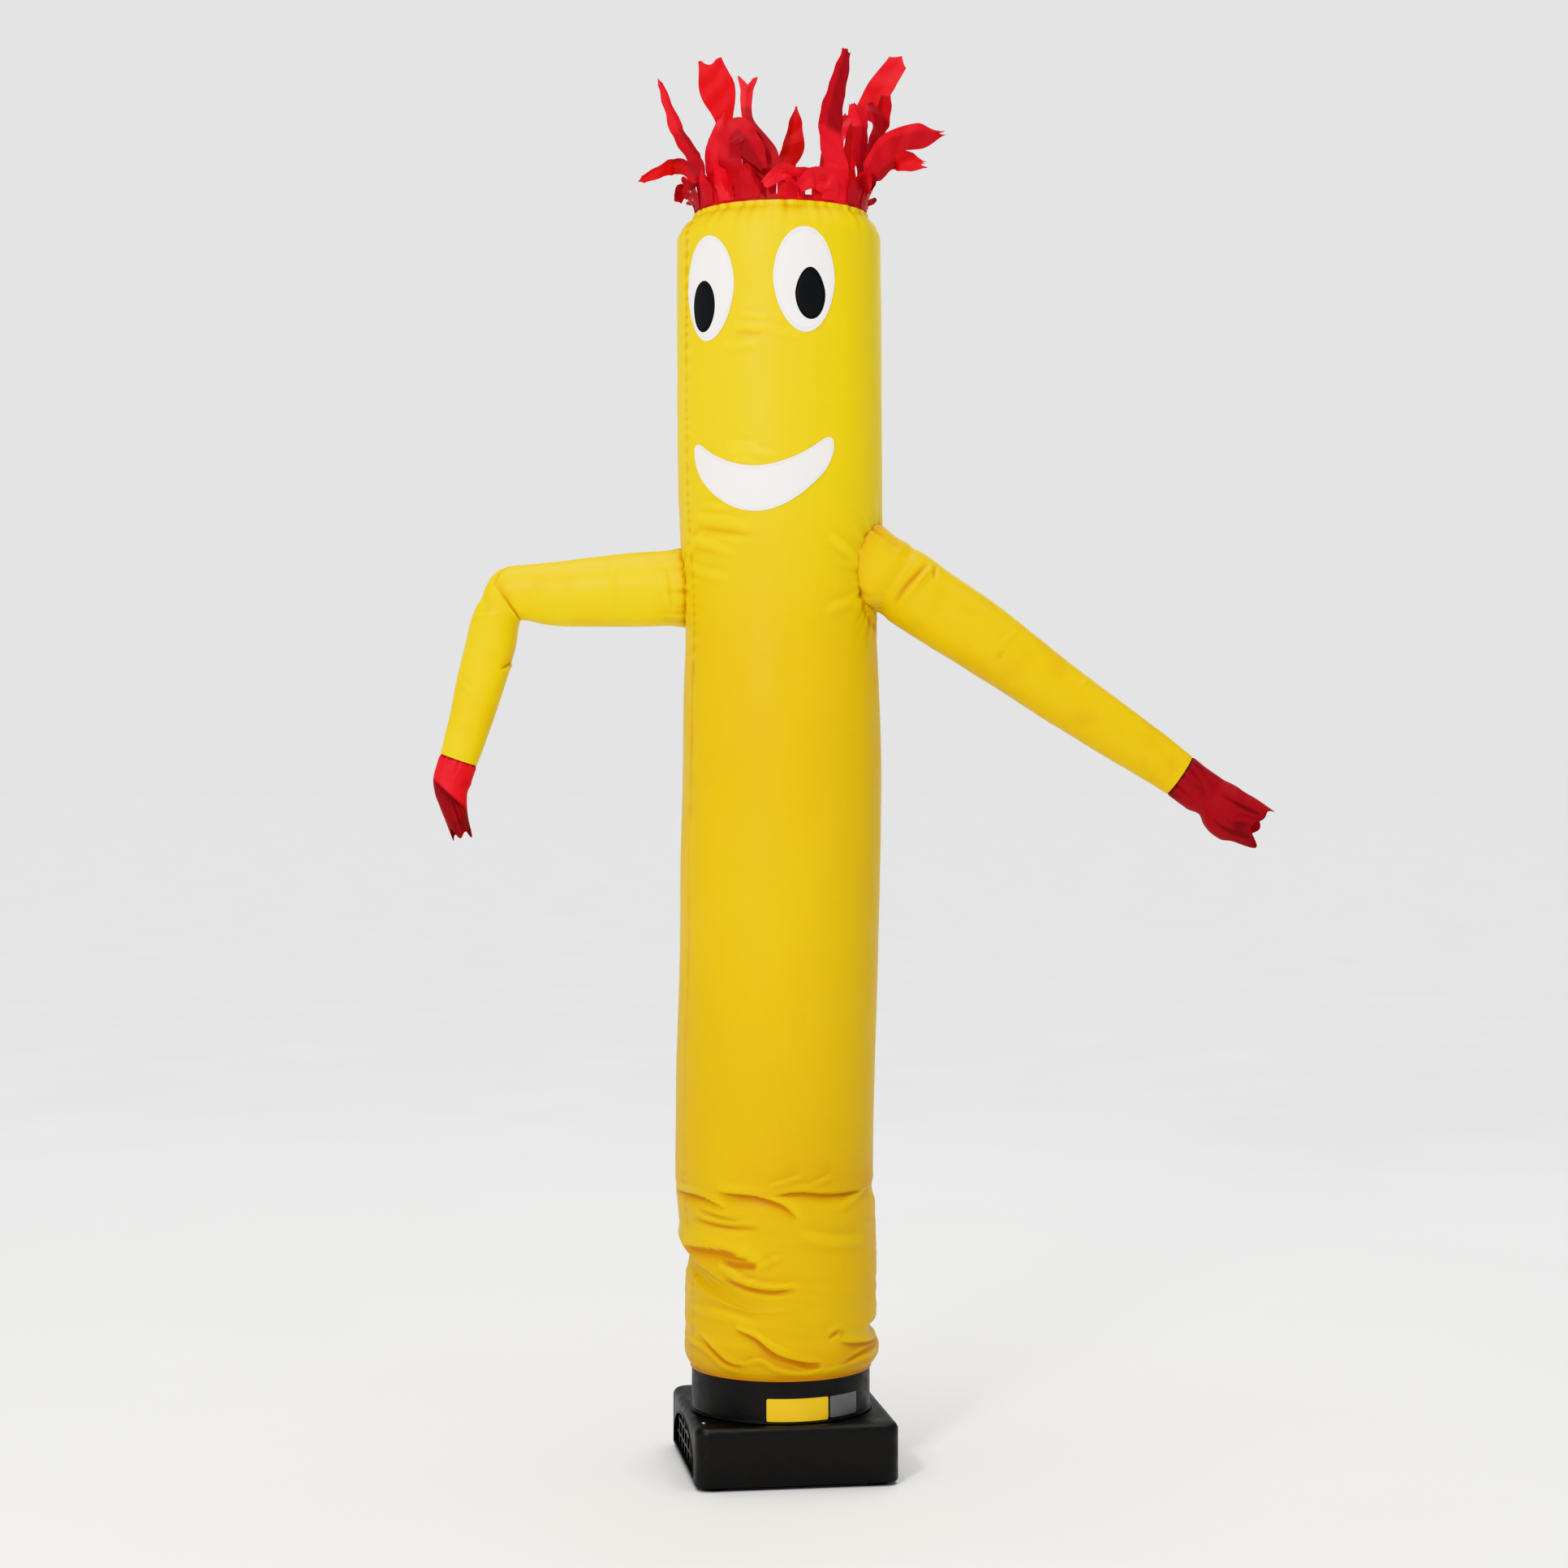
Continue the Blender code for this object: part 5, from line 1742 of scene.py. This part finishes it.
# Loops between the tall ribbons on the right.
LOOPS = {
    "hair_right": streamers_of(
        (70, (166, -75, 2775), (168, -66, 2840), (150, -62, 2890), (42, 40, 36, 14),
         -52, 0.06, 2, 0, 0.7, 0.3, 1.2),
        (80, (190, -34, 2780), (206, -20, 2850), (188, -10, 2905), (34, 36, 34, 20),
         -60, 0.06, 2, 0, 0.7, 0.75, 1.2),
    ),
    "hair_front_left": streamers_of(
        (-40, (-146, -120, 2745), (-140, -110, 2800), (-118, -95, 2862), (30, 28, 18, 8),
         25, 0.06, 1, 0, 0.55, 0.4, 1.2),
    ),
}


def flap(angle: float, lean: float, tall: float, wide: float, shade: float) -> Streamer:
    """A short end that stands up from the seam and falls over it, less so at the sides.

    Args:
        angle: Its angle on the seam.
        lean: How far round its tip lies from its root, in degrees.
        tall: How high it stands over the strip, in millimetres.
        wide: How wide it is, in millimetres.
        shade: Its painted shade.

    Returns:
        The short end as a streamer.
    """
    tall, wide = tall / 1000, wide / 1000
    side = 0.5 - 0.5 * math.cos(2 * math.radians(angle))
    tip = (1.0, 0.211 - 0.006 * side, 0.042 * side - 0.010)
    stops = []
    for share, reach, height in ((0.15, 0.193, 0.75 * tall), (0.55, 0.207 - 0.006 * side, tall), tip):
        turn = math.radians(angle + share * lean)
        stops.append((reach * math.sin(turn), -reach * math.cos(turn), STRIP_HIGH + height))
    widths = (wide, 0.9 * wide, 0.6 * wide, 0.25 * wide)
    return Streamer(
        angle, *stops, widths, turn=12, curl=0.08, rag=0.002, fork=0.0,
        shade=shade, upper=shade + 0.15, out=0.0012,
    )


@dataclass(frozen=True)
class Crown:
    """Red streamers cut as combs from narrow strips that are caught in the shoulder seam.

    sink is how far under the strip's top a streamer starts for each metre outside it, rise how steeply
    it leaves the strip, and kinks where its flat faces meet.
    """

    radius: float = 0.1824
    strip_low: float = 2.651
    strip_rows: int = 6
    # The strip between streamers gets this much painted shade.
    strip_shade: float = 0.5
    half_deg: float = 6.25
    rise: float = 0.080
    sink: float = 6.0
    columns: int = 9
    step: float = 0.0045
    thickness: float = 0.0007
    kinks: tuple[float, float] = (0.36, 0.68)

    def build(self) -> list[bpy.types.Object]:
        """Makes the six combs."""
        return [self.comb(node, streamers) for node, streamers in COMBS.items()]

    def run(self, streamer: Streamer) -> tuple[Array, Array]:
        """The streamer's middle line and its heading at each row.

        Args:
            streamer: The streamer.

        Returns:
            The line's points, and its headings of length 1.
        """
        high = STRIP_HIGH - self.sink * streamer.out
        start = round_axis(self.radius + streamer.out, math.radians(streamer.root), high)
        stops = np.array([start, streamer.low, streamer.high, streamer.tip])
        count = max(18, int(float(lengths_along(stops)[-1]) / self.step))
        before = stops[0] - np.array([0.0, 0.0, self.rise])
        line, heading = spline(np.vstack([before, stops, 2 * stops[-1] - stops[-2]]), count)
        return line, heading / np.linalg.norm(heading, axis=1, keepdims=True)

    def widths(self, streamer: Streamer, count: int) -> Array:
        """The streamer's width at each of its rows.

        Args:
            streamer: The streamer.
            count: How many rows it has.

        Returns:
            The widths.
        """
        root = 2.0 * self.radius * math.sin(math.radians(self.half_deg))
        marks = np.array([0.0, 1 / 3, 2 / 3, 0.86, 1.0])
        values = np.array([root, *streamer.wide])
        share = np.linspace(0.0, 1.0, count)
        k = np.clip(np.searchsorted(marks, share, side="right") - 1, 0, 3)
        return values[k] + (values[k + 1] - values[k]) * ease((share - marks[k]) / (marks[k + 1] - marks[k]))

    def ribbon(self, streamer: Streamer) -> tuple[Array, Array, Array]:
        """The streamer's cloth, in flat faces between its kinks.

        Args:
            streamer: The streamer.

        Returns:
            Its points, its flat coordinates and its painted shade, by row and column.
        """
        line, heading = self.run(streamer)
        count = len(line)
        widths = self.widths(streamer, count)
        root = math.radians(streamer.root)
        across = Vector((math.cos(root), math.sin(root), 0.0))
        share = np.linspace(0.0, 1.0, count)
        luck = random.Random(int(streamer.root) + 400)
        kinks = [kink + luck.uniform(-0.06, 0.06) for kink in self.kinks]
        bends = [ease((share - kink) / 0.05 + 0.5) for kink in kinks]
        turned = math.radians(streamer.turn) * (0.3 * share + 0.35 * bends[0] + 0.35 * bends[1])
        place = np.linspace(-1.0, 1.0, self.columns)
        phase = [luck.uniform(0.0, math.tau) for _ in range(6)]
        tear = np.array([luck.uniform(-1.0, 1.0) for _ in place])
        travelled = lengths_along(line)
        crest = luck.uniform(-0.35, 0.35)
        tent = 1.0 - np.abs(place - crest) / (1.0 + np.abs(crest) * np.sign(place - crest) * -np.sign(crest))
        points, flat = [], []
        half = place * widths[:, None] / 2
        for k in range(count):
            way = Vector(heading[k])
            if k:
                across = Matrix.Rotation(turned[k] - turned[k - 1], 3, way) @ across
                across = (across - way * across.dot(way)).normalized()
            face = across.cross(way)
            grown = float(ease(share[k] / 0.25))
            bow = streamer.curl * grown * tent * widths[k] * (1.0 - 1.6 * bends[0][k] + 1.4 * bends[1][k])
            ramp = (travelled[k] + 0.35 * widths[k] * place) / 0.052 + phase[0]
            folds = 0.0022 * grown * (4.0 * np.abs(ramp - np.floor(ramp) - 0.5) - 1.0)
            end = float(ease((share[k] - 0.80) / 0.20))
            reach = end * (streamer.rag * tear - streamer.fork * 1.6 * (1.0 - np.abs(place)) ** 1.5)
            seated = (1.0 - grown) * half[k] ** 2 / (2 * self.radius)
            out = (bow + folds - seated)[:, None] * np.array(face)
            side = half[k][:, None] * np.array(across)
            points.append(line[k] + side + out + reach[:, None] * np.array(way))
            flat.append(np.stack([half[k], travelled[k] + reach], axis=-1))
        # Painted shade: deeper above the last kink, and the two sides of the crest past the first kink
        # lighter and darker, as a lit and a shaded face.
        shade = streamer.shade + (streamer.upper - streamer.shade) * bends[1][:, None]
        return np.array(points), np.array(flat), shade + 0.16 * np.sign(place - crest) * bends[0][:, None]

    def reach(self, node: str) -> tuple[float, float]:
        """The angles where a comb's strip ends, half way to its neighbours' streamers.

        Args:
            node: The comb's solid.

        Returns:
            The first and the last angle, in degrees.
        """
        spans = [(row[0].root - self.half_deg, row[-1].root + self.half_deg) for row in COMBS.values()]
        k = list(COMBS).index(node)
        before = spans[k - 1][1] - (360.0 if k == 0 else 0.0)
        after = spans[(k + 1) % len(spans)][0] + (360.0 if k + 1 == len(spans) else 0.0)
        return (spans[k][0] + before) / 2 + 0.04, (spans[k][1] + after) / 2 - 0.04

    def strip(self, start: float, end: float, shade: float) -> tuple[Array, Array, Array]:
        """A length of the strip between two angles.

        Args:
            start: The first angle, in degrees.
            end: The last angle.
            shade: Its painted shade.

        Returns:
            Its points, its flat coordinates and its painted shade, by row and column.
        """
        turn = np.radians(np.linspace(start, end, self.columns))
        high = np.linspace(self.strip_low, STRIP_HIGH, self.strip_rows)
        flat = np.stack(np.meshgrid(self.radius * turn, high), axis=-1)
        return round_axis(self.radius, turn, high[:, None]), flat, np.full(flat.shape[:2], shade)

    def comb(self, node: str, streamers: tuple[Streamer, ...]) -> bpy.types.Object:
        """Three streamers and their strip, in one piece.

        Args:
            node: The solid that it stands for.
            streamers: The streamers.

        Returns:
            The comb.
        """
        spans = [(s.root - self.half_deg, s.root + self.half_deg) for s in streamers]
        first, last = self.reach(node)
        parts = [self.strip(*spans[0], streamers[0].shade)]
        for k in range(1, len(spans)):
            parts.append(self.strip(spans[k - 1][1], spans[k][0], self.strip_shade))
            parts.append(self.strip(*spans[k], streamers[k].shade))
        parts.append(self.strip(first, spans[0][0], self.strip_shade))
        parts.append(self.strip(spans[-1][1], last, self.strip_shade))
        ribbons = (*streamers, *LOOPS.get(node, ()), *(flap(*row) for row in FLAPS[node]))
        parts += [self.ribbon(streamer) for streamer in ribbons]
        name = node.replace("hair", "streamers")
        piece = joined_grids(name, parts, RED_CLOTH)
        thicken(piece, self.thickness)
        apply_all(piece)
        piece.data.set_sharp_from_angle(angle=math.radians(30))
        register(piece, RED_CLOTH, node)
        lines = [self.run(streamer)[0] for streamer in ribbons]
        return piece


SHADE_GAIN, SHADE_CUT = 0.84, 0.05  # from a streamer's painted shade to the painted shade in its colour


def joined_grids(name: str, parts: list[tuple[Array, Array, Array]], finish: ClothFinish) -> bpy.types.Object:
    """One mesh of several grids, merged where their edges meet.

    Args:
        name: The piece's name.
        parts: Points, flat coordinates and painted shade of each grid.
        finish: The finish.

    Returns:
        The piece.
    """
    points, faces, flat, painted_shade = [], [], [], []
    start = 0
    for grid, cloth, shade in parts:
        made = quads(*grid.shape[:2], False)
        faces.append(made + start)
        points.append(grid.reshape(-1, 3))
        flat.append(cloth.reshape(-1, 2)[made.reshape(-1)])
        painted_shade.append(SHADE_GAIN * shade.reshape(-1) - SHADE_CUT)
        start += shade.size
    mesh = cloth_mesh(name, *(np.concatenate(rows) for rows in (points, faces, flat, painted_shade)))
    with opened(mesh) as work:
        bmesh.ops.remove_doubles(work, verts=work.verts, dist=0.0002)
    return link_mesh(name, mesh, finish)


# ---------------------------------------------------------------- blower


def spun(profile: Sequence[tuple[float, float]], sides: int) -> Array:
    """A profile of radius and height turned round the upright axis, row by row."""
    radius, height = np.array(profile).T[..., None]
    return round_axis(radius, np.linspace(0.0, math.tau, sides + 1)[:-1], height)


def rounded(
    profile: Sequence[tuple[float, float]], radius: float, steps: int = 4
) -> list[tuple[float, float]]:
    """A closed profile with each corner rounded.

    Args:
        profile: Its corners, as radius and height.
        radius: The corners' radius.
        steps: How many faces each corner gets.

    Returns:
        The rounded profile's points.
    """
    made: list[tuple[float, float]] = []
    count = len(profile)
    for k in range(count):
        here = Vector(profile[k])
        before, after = Vector(profile[k - 1]) - here, Vector(profile[(k + 1) % count]) - here
        reach = min(radius, before.length * 0.45, after.length * 0.45)
        start, end = here + before.normalized() * reach, here + after.normalized() * reach
        for j in range(steps + 1):
            t = j / steps
            made.append(tuple(start * (1 - t) ** 2 + here * 2 * t * (1 - t) + end * t * t))
    return made


def moulding(
    name: str, rows: Array, finish: Finish, ring: bool = False, axes: Matrix | None = None
) -> bpy.types.Object:
    """A hard piece from rings of points.

    Args:
        name: The piece's name.
        rows: The rings, each anticlockwise from above while they climb its outside.
        finish: Its finish.
        ring: Whether the last ring joins the first, instead of a face that closes each.
        axes: Where its own axes are.

    Returns:
        The piece.
    """
    if ring:
        rows = np.concatenate([rows, rows[:1]])
    count, sides = rows.shape[:2]
    faces = quads(count, sides, True).tolist()
    if not ring:
        faces.append(list(reversed(range(sides))))
        faces.append(list(range((count - 1) * sides, count * sides)))
    mesh = bpy.data.meshes.new(name)
    mesh.from_pydata(rows.reshape(-1, 3).tolist(), [], faces)
    with opened(mesh) as work:
        bmesh.ops.remove_doubles(work, verts=work.verts, dist=1e-6)
        bmesh.ops.recalc_face_normals(work, faces=work.faces)
    if axes is not None:
        mesh.transform(axes)
    piece = link_mesh(name, mesh, finish)
    mesh.set_sharp_from_angle(angle=math.radians(40))
    return piece


@dataclass(frozen=True)
class Blower:
    """The moulded base: a square housing with an arched intake, its outlet drum, feet and plates."""

    wide: float = 0.426
    deep: float = 0.456
    centre: tuple[float, float] = (0.004, 0.020)
    turn: float = 8.5
    corner: float = 0.030
    top_round: float = 0.016
    wall: float = 0.0045
    bottom: float = 0.008
    top: float = 0.130
    drum_radius: float = 0.1895
    drum_wall: float = 0.004
    drum_top: float = 0.289
    bead: float = 0.004
    seat: float = 0.0003
    intake_width: float = 0.340
    intake_low: float = 0.022
    intake_high: float = 0.107
    rim_radius: float = 0.0022
    rim_out: float = 0.0004
    foot_radius: float = 0.034
    foot_tread: float = 0.0265
    foot_inset: float = 0.045
    screw_place: tuple[float, float] = (-0.190, -0.169)
    screw_radius: float = 0.0045
    plate_corner: float = 0.004
    plate_film: float = 0.0008

    def axes(self) -> Matrix:
        """The turned axes of the housing."""
        return Matrix.Translation((*self.centre, 0.0)) @ Matrix.Rotation(math.radians(self.turn), 4, "Z")

    def build(self) -> list[bpy.types.Object]:
        """Makes the blower's pieces and dresses the solids that stay.

        Returns:
            The pieces.
        """
        for node in ("base_plate", "intake_guard"):
            dress_node(node, BLACK_PLASTIC)
        made = [self.housing(), self.rim(), self.drum(), self.screw()]
        made += [self.foot(depth, side) for depth in ("front", "back") for side in ("left", "right")]
        made.append(self.plate("yellow", YELLOW_PLATE, (-8.8, 31.3), 0.1362, 0.1835))
        made.append(self.plate("grey", GREY_PLATE, (32.6, 56.2), 0.1385, 0.1835))
        return made

    def outline(self, inset: float, corner: float, height: float) -> Array:
        """A level outline of the housing, this far inside its sides."""
        flat = round_corners(self.wide / 2 - inset, self.deep / 2 - inset, corner, 12)
        return np.column_stack([flat, np.full(len(flat), height)])

    def housing(self) -> bpy.types.Object:
        """The moulded shell with its rounded top edge and its arched window.

        Returns:
            The housing.
        """
        loops = [
            (self.wall + 0.012, 0.016, self.top - self.wall),
            (self.wall + 0.002, 0.024, self.top - self.wall - 0.004),
            (self.wall, self.corner - self.wall, self.top - 0.018),
            (self.wall, self.corner - self.wall, self.bottom),
            (0.0016, self.corner, self.bottom),
            (0.0, self.corner, self.bottom + 0.0030),
        ]
        for k in range(9):
            angle = math.tau / 4 * k / 8
            inset = self.top_round * (1.0 - math.cos(angle))
            height = self.top - self.top_round + self.top_round * math.sin(angle)
            loops.append((inset, self.corner - 0.75 * inset, height))
        rows = np.stack([self.outline(*loop) for loop in loops])
        housing = moulding("housing_shell", rows, BLACK_PLASTIC, axes=self.axes())
        cutter = self.cutter()
        window = housing.modifiers.new("window", "BOOLEAN")
        window.operation = "DIFFERENCE"
        window.solver = "EXACT"
        window.object = cutter
        apply_all(housing)
        bpy.data.objects.remove(cutter)
        housing.data.set_sharp_from_angle(angle=math.radians(40))
        return register(housing, BLACK_PLASTIC, "blower_housing")

    def arch(self, spread: float = 0.0) -> Array:
        """The window's outline in the wall, as Y and height.

        Args:
            spread: How far outside the window it runs.

        Returns:
            The outline's points.
        """
        rise = self.intake_high - self.intake_low
        angles = np.linspace(0.0, math.pi, 41)
        y = (self.intake_width / 2 + spread) * np.cos(angles)
        z = self.intake_low - spread + (rise + 2 * spread) * np.abs(np.sin(angles)) ** 0.7
        return np.stack([y, z], axis=-1)

    def cutter(self) -> bpy.types.Object:
        """An arched prism through the left wall."""
        rows = [[(x - self.wide / 2, y, z) for y, z in self.arch()] for x in (-0.012, 0.010)]
        return moulding("window_cutter", np.array(rows), BLACK_PLASTIC, axes=self.axes())

    def rim(self) -> bpy.types.Object:
        """The moulded bead round the intake.

        Returns:
            The bead.
        """
        path, side = self.arch(0.0012), -self.wide / 2 - self.rim_out
        ahead = np.roll(path, -1, axis=0) - np.concatenate([path[:1], path[:-1]])
        ahead = ahead / np.linalg.norm(ahead, axis=1, keepdims=True)
        turns, size = np.linspace(0.0, math.tau, 9)[:-1], self.rim_radius
        section = [(math.cos(turn) * size, math.sin(turn) * size) for turn in turns]
        rows = []
        for spot, way in zip(path, ahead):
            normal = np.array([-way[1], way[0]])
            rows.append([(side + out, *(spot + normal * off)) for off, out in section])
        rim = moulding("intake_rim", np.array(rows), BLACK_PLASTIC, True, self.axes())
        return register(rim, BLACK_PLASTIC)

    def drum(self) -> bpy.types.Object:
        """The outlet drum with the bead round its foot and its rolled lip.

        Returns:
            The drum.
        """
        low = self.top + self.seat
        inner, outer = self.drum_radius - self.drum_wall, self.drum_radius + self.bead
        corners = (
            (inner, self.drum_top), (inner, low), (outer, low), (outer, low + self.bead),
            (self.drum_radius, low + self.bead + 0.001), (self.drum_radius, self.drum_top),
        )
        drum = moulding("outlet_drum_shell", spun(rounded(corners, 0.0016), 176), BLACK_PLASTIC, True)
        return register(drum, BLACK_PLASTIC, "outlet_drum")

    def foot(self, depth: str, side: str) -> bpy.types.Object:
        """One rubber foot with its rounded tread.

        Args:
            depth: front or back.
            side: left or right.

        Returns:
            The foot.
        """
        x = (self.wide / 2 - self.foot_inset) * (1 if side == "right" else -1)
        y = (self.deep / 2 - self.foot_inset) * (1 if depth == "back" else -1)
        radius, top = self.foot_radius, self.bottom - self.seat
        profile = (
            (0.0060, 0.0012), (0.0090, 0.0), (self.foot_tread, 0.0), (radius - 0.0042, 0.0008),
            (radius - 0.0015, 0.0030), (radius - 0.0002, 0.0052), (radius, top - 0.0006),
            (radius - 0.0006, top),
        )
        axes = self.axes() @ Matrix.Translation((x, y, 0.0))
        foot = moulding(f"foot_pad_{depth}_{side}", spun(profile, 56), RUBBER, axes=axes)
        return register(foot, RUBBER, f"foot_{depth}_{side}")

    def screw(self) -> bpy.types.Object:
        """The screw with its domed head.

        Returns:
            The screw.
        """
        low, size = self.top + self.seat, self.screw_radius
        profile = [(size, low), (size, low + 0.0008)]
        dome = np.linspace(0.2, 1.25, 6)
        profile += [(size * math.cos(a), low + 0.0008 + 0.0018 * math.sin(a)) for a in dome]
        axes = self.axes() @ Matrix.Translation((*self.screw_place, 0.0))
        screw = moulding("housing_screw_head", spun(profile, 40), STEEL, axes=axes)
        return register(screw, STEEL, "housing_screw")

    def plate(
        self, name: str, finish: PlateFinish, span: tuple[float, float], low: float, high: float
    ) -> bpy.types.Object:
        """A blank plate with round corners, bent round the drum.

        Args:
            name: The plate's colour.
            finish: Its finish.
            span: The angles of its left and its right edge.
            low: The height of its lower edge.
            high: The height of its upper edge.

        Returns:
            The plate.
        """
        radius = self.drum_radius + self.seat
        half_u, half_v = math.radians(span[1] - span[0]) / 2 * radius, (high - low) / 2
        loops = [(1.0, 0.0), (1.0, 0.75 * self.plate_film), (0.9965, self.plate_film)]
        loops += [(share, self.plate_film) for share in np.linspace(0.97, 0.03, 14)]
        edge = finely(round_corners(half_u, half_v, self.plate_corner, 8), 0.004)
        middle, rows = math.radians(sum(span) / 2), []
        for share, lift in loops:
            u, v = share * edge.T
            rows.append(round_axis(radius + lift, middle + u / radius, (low + high) / 2 + v))
        plate = moulding(f"plate_{name}_film", np.array(rows), finish)
        return register(plate, finish, f"plate_{name}")


def round_corners(half_u: float, half_v: float, corner: float, steps: int) -> Array:
    """A rectangle with round corners.

    Args:
        half_u: Half its width.
        half_v: Half its height.
        corner: Its corners' radius.
        steps: How many sides each corner has.

    Returns:
        Its outline, anticlockwise.
    """
    made = []
    for quarter, (x, y) in enumerate(((1, 1), (-1, 1), (-1, -1), (1, -1))):
        turn = math.tau / 4 * (quarter + np.arange(steps + 1) / steps)
        middle = np.array([x * (half_u - corner), y * (half_v - corner)])
        made.append(middle + corner * np.stack([np.cos(turn), np.sin(turn)], axis=-1))
    return np.concatenate(made)


def finely(outline: Array, step: float) -> Array:
    """A closed outline with more points along its sides.

    Args:
        outline: The outline's points.
        step: The widest gap allowed.

    Returns:
        The outline's new points.
    """
    made = []
    for here, after in zip(outline, np.roll(outline, -1, axis=0)):
        count = max(1, math.ceil(float(np.linalg.norm(after - here)) / step))
        made += [here + (after - here) * k / count for k in range(count)]
    return np.array(made)


def apply_all(piece: bpy.types.Object) -> None:
    """Turns a piece's modifiers into its mesh.

    Args:
        piece: The piece.
    """
    graph = bpy.context.evaluated_depsgraph_get()
    graph.update()
    mesh = bpy.data.meshes.new_from_object(piece.evaluated_get(graph))
    piece.modifiers.clear()
    piece.data = mesh


def dress_node(node: str, finish: Finish) -> None:
    """Gives a solid that stays its finish.

    Args:
        node: The solid's name.
        finish: Its finish.
    """
    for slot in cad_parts[node].material_slots:
        slot.material = material_of(finish)


# ---------------------------------------------------------------- studio


@dataclass(frozen=True)
class Lamp:
    """A soft lamp, aimed at a point: a square one, or the even light from above where its size is 0."""

    name: str
    place: Point
    target: Point
    size: float
    power: float
    spread: float
    colour: Colour

    def build(self) -> None:
        """Puts the lamp in the scene."""
        data = bpy.data.lights.new(self.name, "AREA" if self.size else "SUN")
        data.energy = self.power
        data.color = self.colour
        if self.size:
            data.size = self.size
            data.spread = math.radians(self.spread)
        else:
            data.angle = math.radians(self.spread)
        lamp = bpy.data.objects.new(self.name, data)
        lamp.location = self.place
        aim = Vector(self.target) - Vector(self.place)
        lamp.rotation_euler = aim.to_track_quat("-Z", "Y").to_euler()
        bpy.context.scene.collection.objects.link(lamp)


@dataclass(frozen=True)
class Studio:
    """A pale floor, soft lamps and the camera."""

    floor_half: float = 400.0
    camera_place: Point = (0.007, -6.1, 1.454)
    lens: float = 65.7
    lamps: tuple[Lamp, ...] = (
        Lamp("key", (-2.0, -4.9, 4.3), (0.0, 0.0, 2.2), 0.9, 155.0, 180.0, (1.0, 0.98, 0.94)),
        Lamp("fill", (4.4, -4.2, 2.0), (0.0, 0.0, 1.3), 2.6, 9.0, 160.0, (0.97, 0.98, 1.0)),
        Lamp("back", (1.6, 4.6, 4.4), (0.0, 0.0, 2.2), 2.2, 20.0, 160.0, (1.0, 1.0, 1.0)),
        Lamp("even", (0.0, 0.0, 9.0), (0.0, 0.0, 0.0), 0.0, 2.3, 60.0, (1.0, 1.0, 1.0)),
    )

    def build(self) -> None:
        """Makes the floor, the light and the camera."""
        self.floor()
        self.sky()
        for lamp in self.lamps:
            lamp.build()
        data = bpy.data.cameras.new("camera")
        data.lens = self.lens
        data.sensor_width = 36.0
        data.clip_end = 1000.0
        camera = bpy.data.objects.new("camera", data)
        camera.location = self.camera_place
        camera.rotation_euler = (math.pi / 2, 0.0, 0.0)
        bpy.context.scene.collection.objects.link(camera)
        bpy.context.scene.camera = camera

    def floor(self) -> None:
        """The plain pale floor."""
        half = self.floor_half
        mesh = bpy.data.meshes.new("floor")
        corners = [(-half, -half, 0.0), (half, -half, 0.0), (half, half, 0.0), (-half, half, 0.0)]
        mesh.from_pydata(corners, [], [(0, 1, 2, 3)])
        shader = Shader("pale_floor")
        solid = shader.add("TexCoord").outputs["Object"]
        cloud = shader.speckle(solid, 1.4, 3.0, 0.5)
        mesh.materials.append(
            shader.dress(
                Base_Color=shader.blend(cloud, (0.82, 0.82, 0.82), (0.86, 0.86, 0.86)),
                Roughness=shader.remap(cloud, 0.3, 0.7, 0.6, 0.7),
            )
        )
        floor = bpy.data.objects.new("floor", mesh)
        bpy.context.scene.collection.objects.link(floor)

    def sky(self) -> None:
        """The even white light all round."""
        world = bpy.data.worlds.new("studio_white")
        world.use_nodes = True
        tree = world.node_tree
        light = tree.nodes["Background"]
        light.inputs["Color"].default_value = (1.0, 1.0, 1.0, 1.0)
        where = tree.nodes.new("ShaderNodeTexCoord")
        split = tree.nodes.new("ShaderNodeSeparateXYZ")
        band = tree.nodes.new("ShaderNodeMapRange")
        steep = tree.nodes.new("ShaderNodeMath")
        steep.operation = "ABSOLUTE"
        for key, value in zip(("From Min", "From Max", "To Min", "To Max"), (0.27, 0.42, 0.825, 0.22)):
            band.inputs[key].default_value = value
        tree.links.new(where.outputs["Generated"], split.inputs[0])
        tree.links.new(split.outputs[2], steep.inputs[0])
        tree.links.new(steep.outputs[0], band.inputs[0])
        tree.links.new(band.outputs[0], light.inputs["Strength"])
        bpy.context.scene.world = world
        bpy.context.scene.view_settings.view_transform = "Khronos PBR Neutral"


# ---------------------------------------------------------------- the whole


def report(pieces: Sequence[bpy.types.Object]) -> None:
    """Logs the pieces of one sub-assembly."""
    LOG.info("made %s", ", ".join(piece.name for piece in pieces))


def main() -> None:
    """Builds the air dancer and its studio."""
    logging.basicConfig(level=logging.INFO, format="%(name)s: %(message)s")
    form = TubeForm()
    Studio().build()
    for assembly in (Blower(), BodyTube(form), Arms(form), Face(form), Crown()):
        report(assembly.build())


if __name__ == "__main__":
    main()
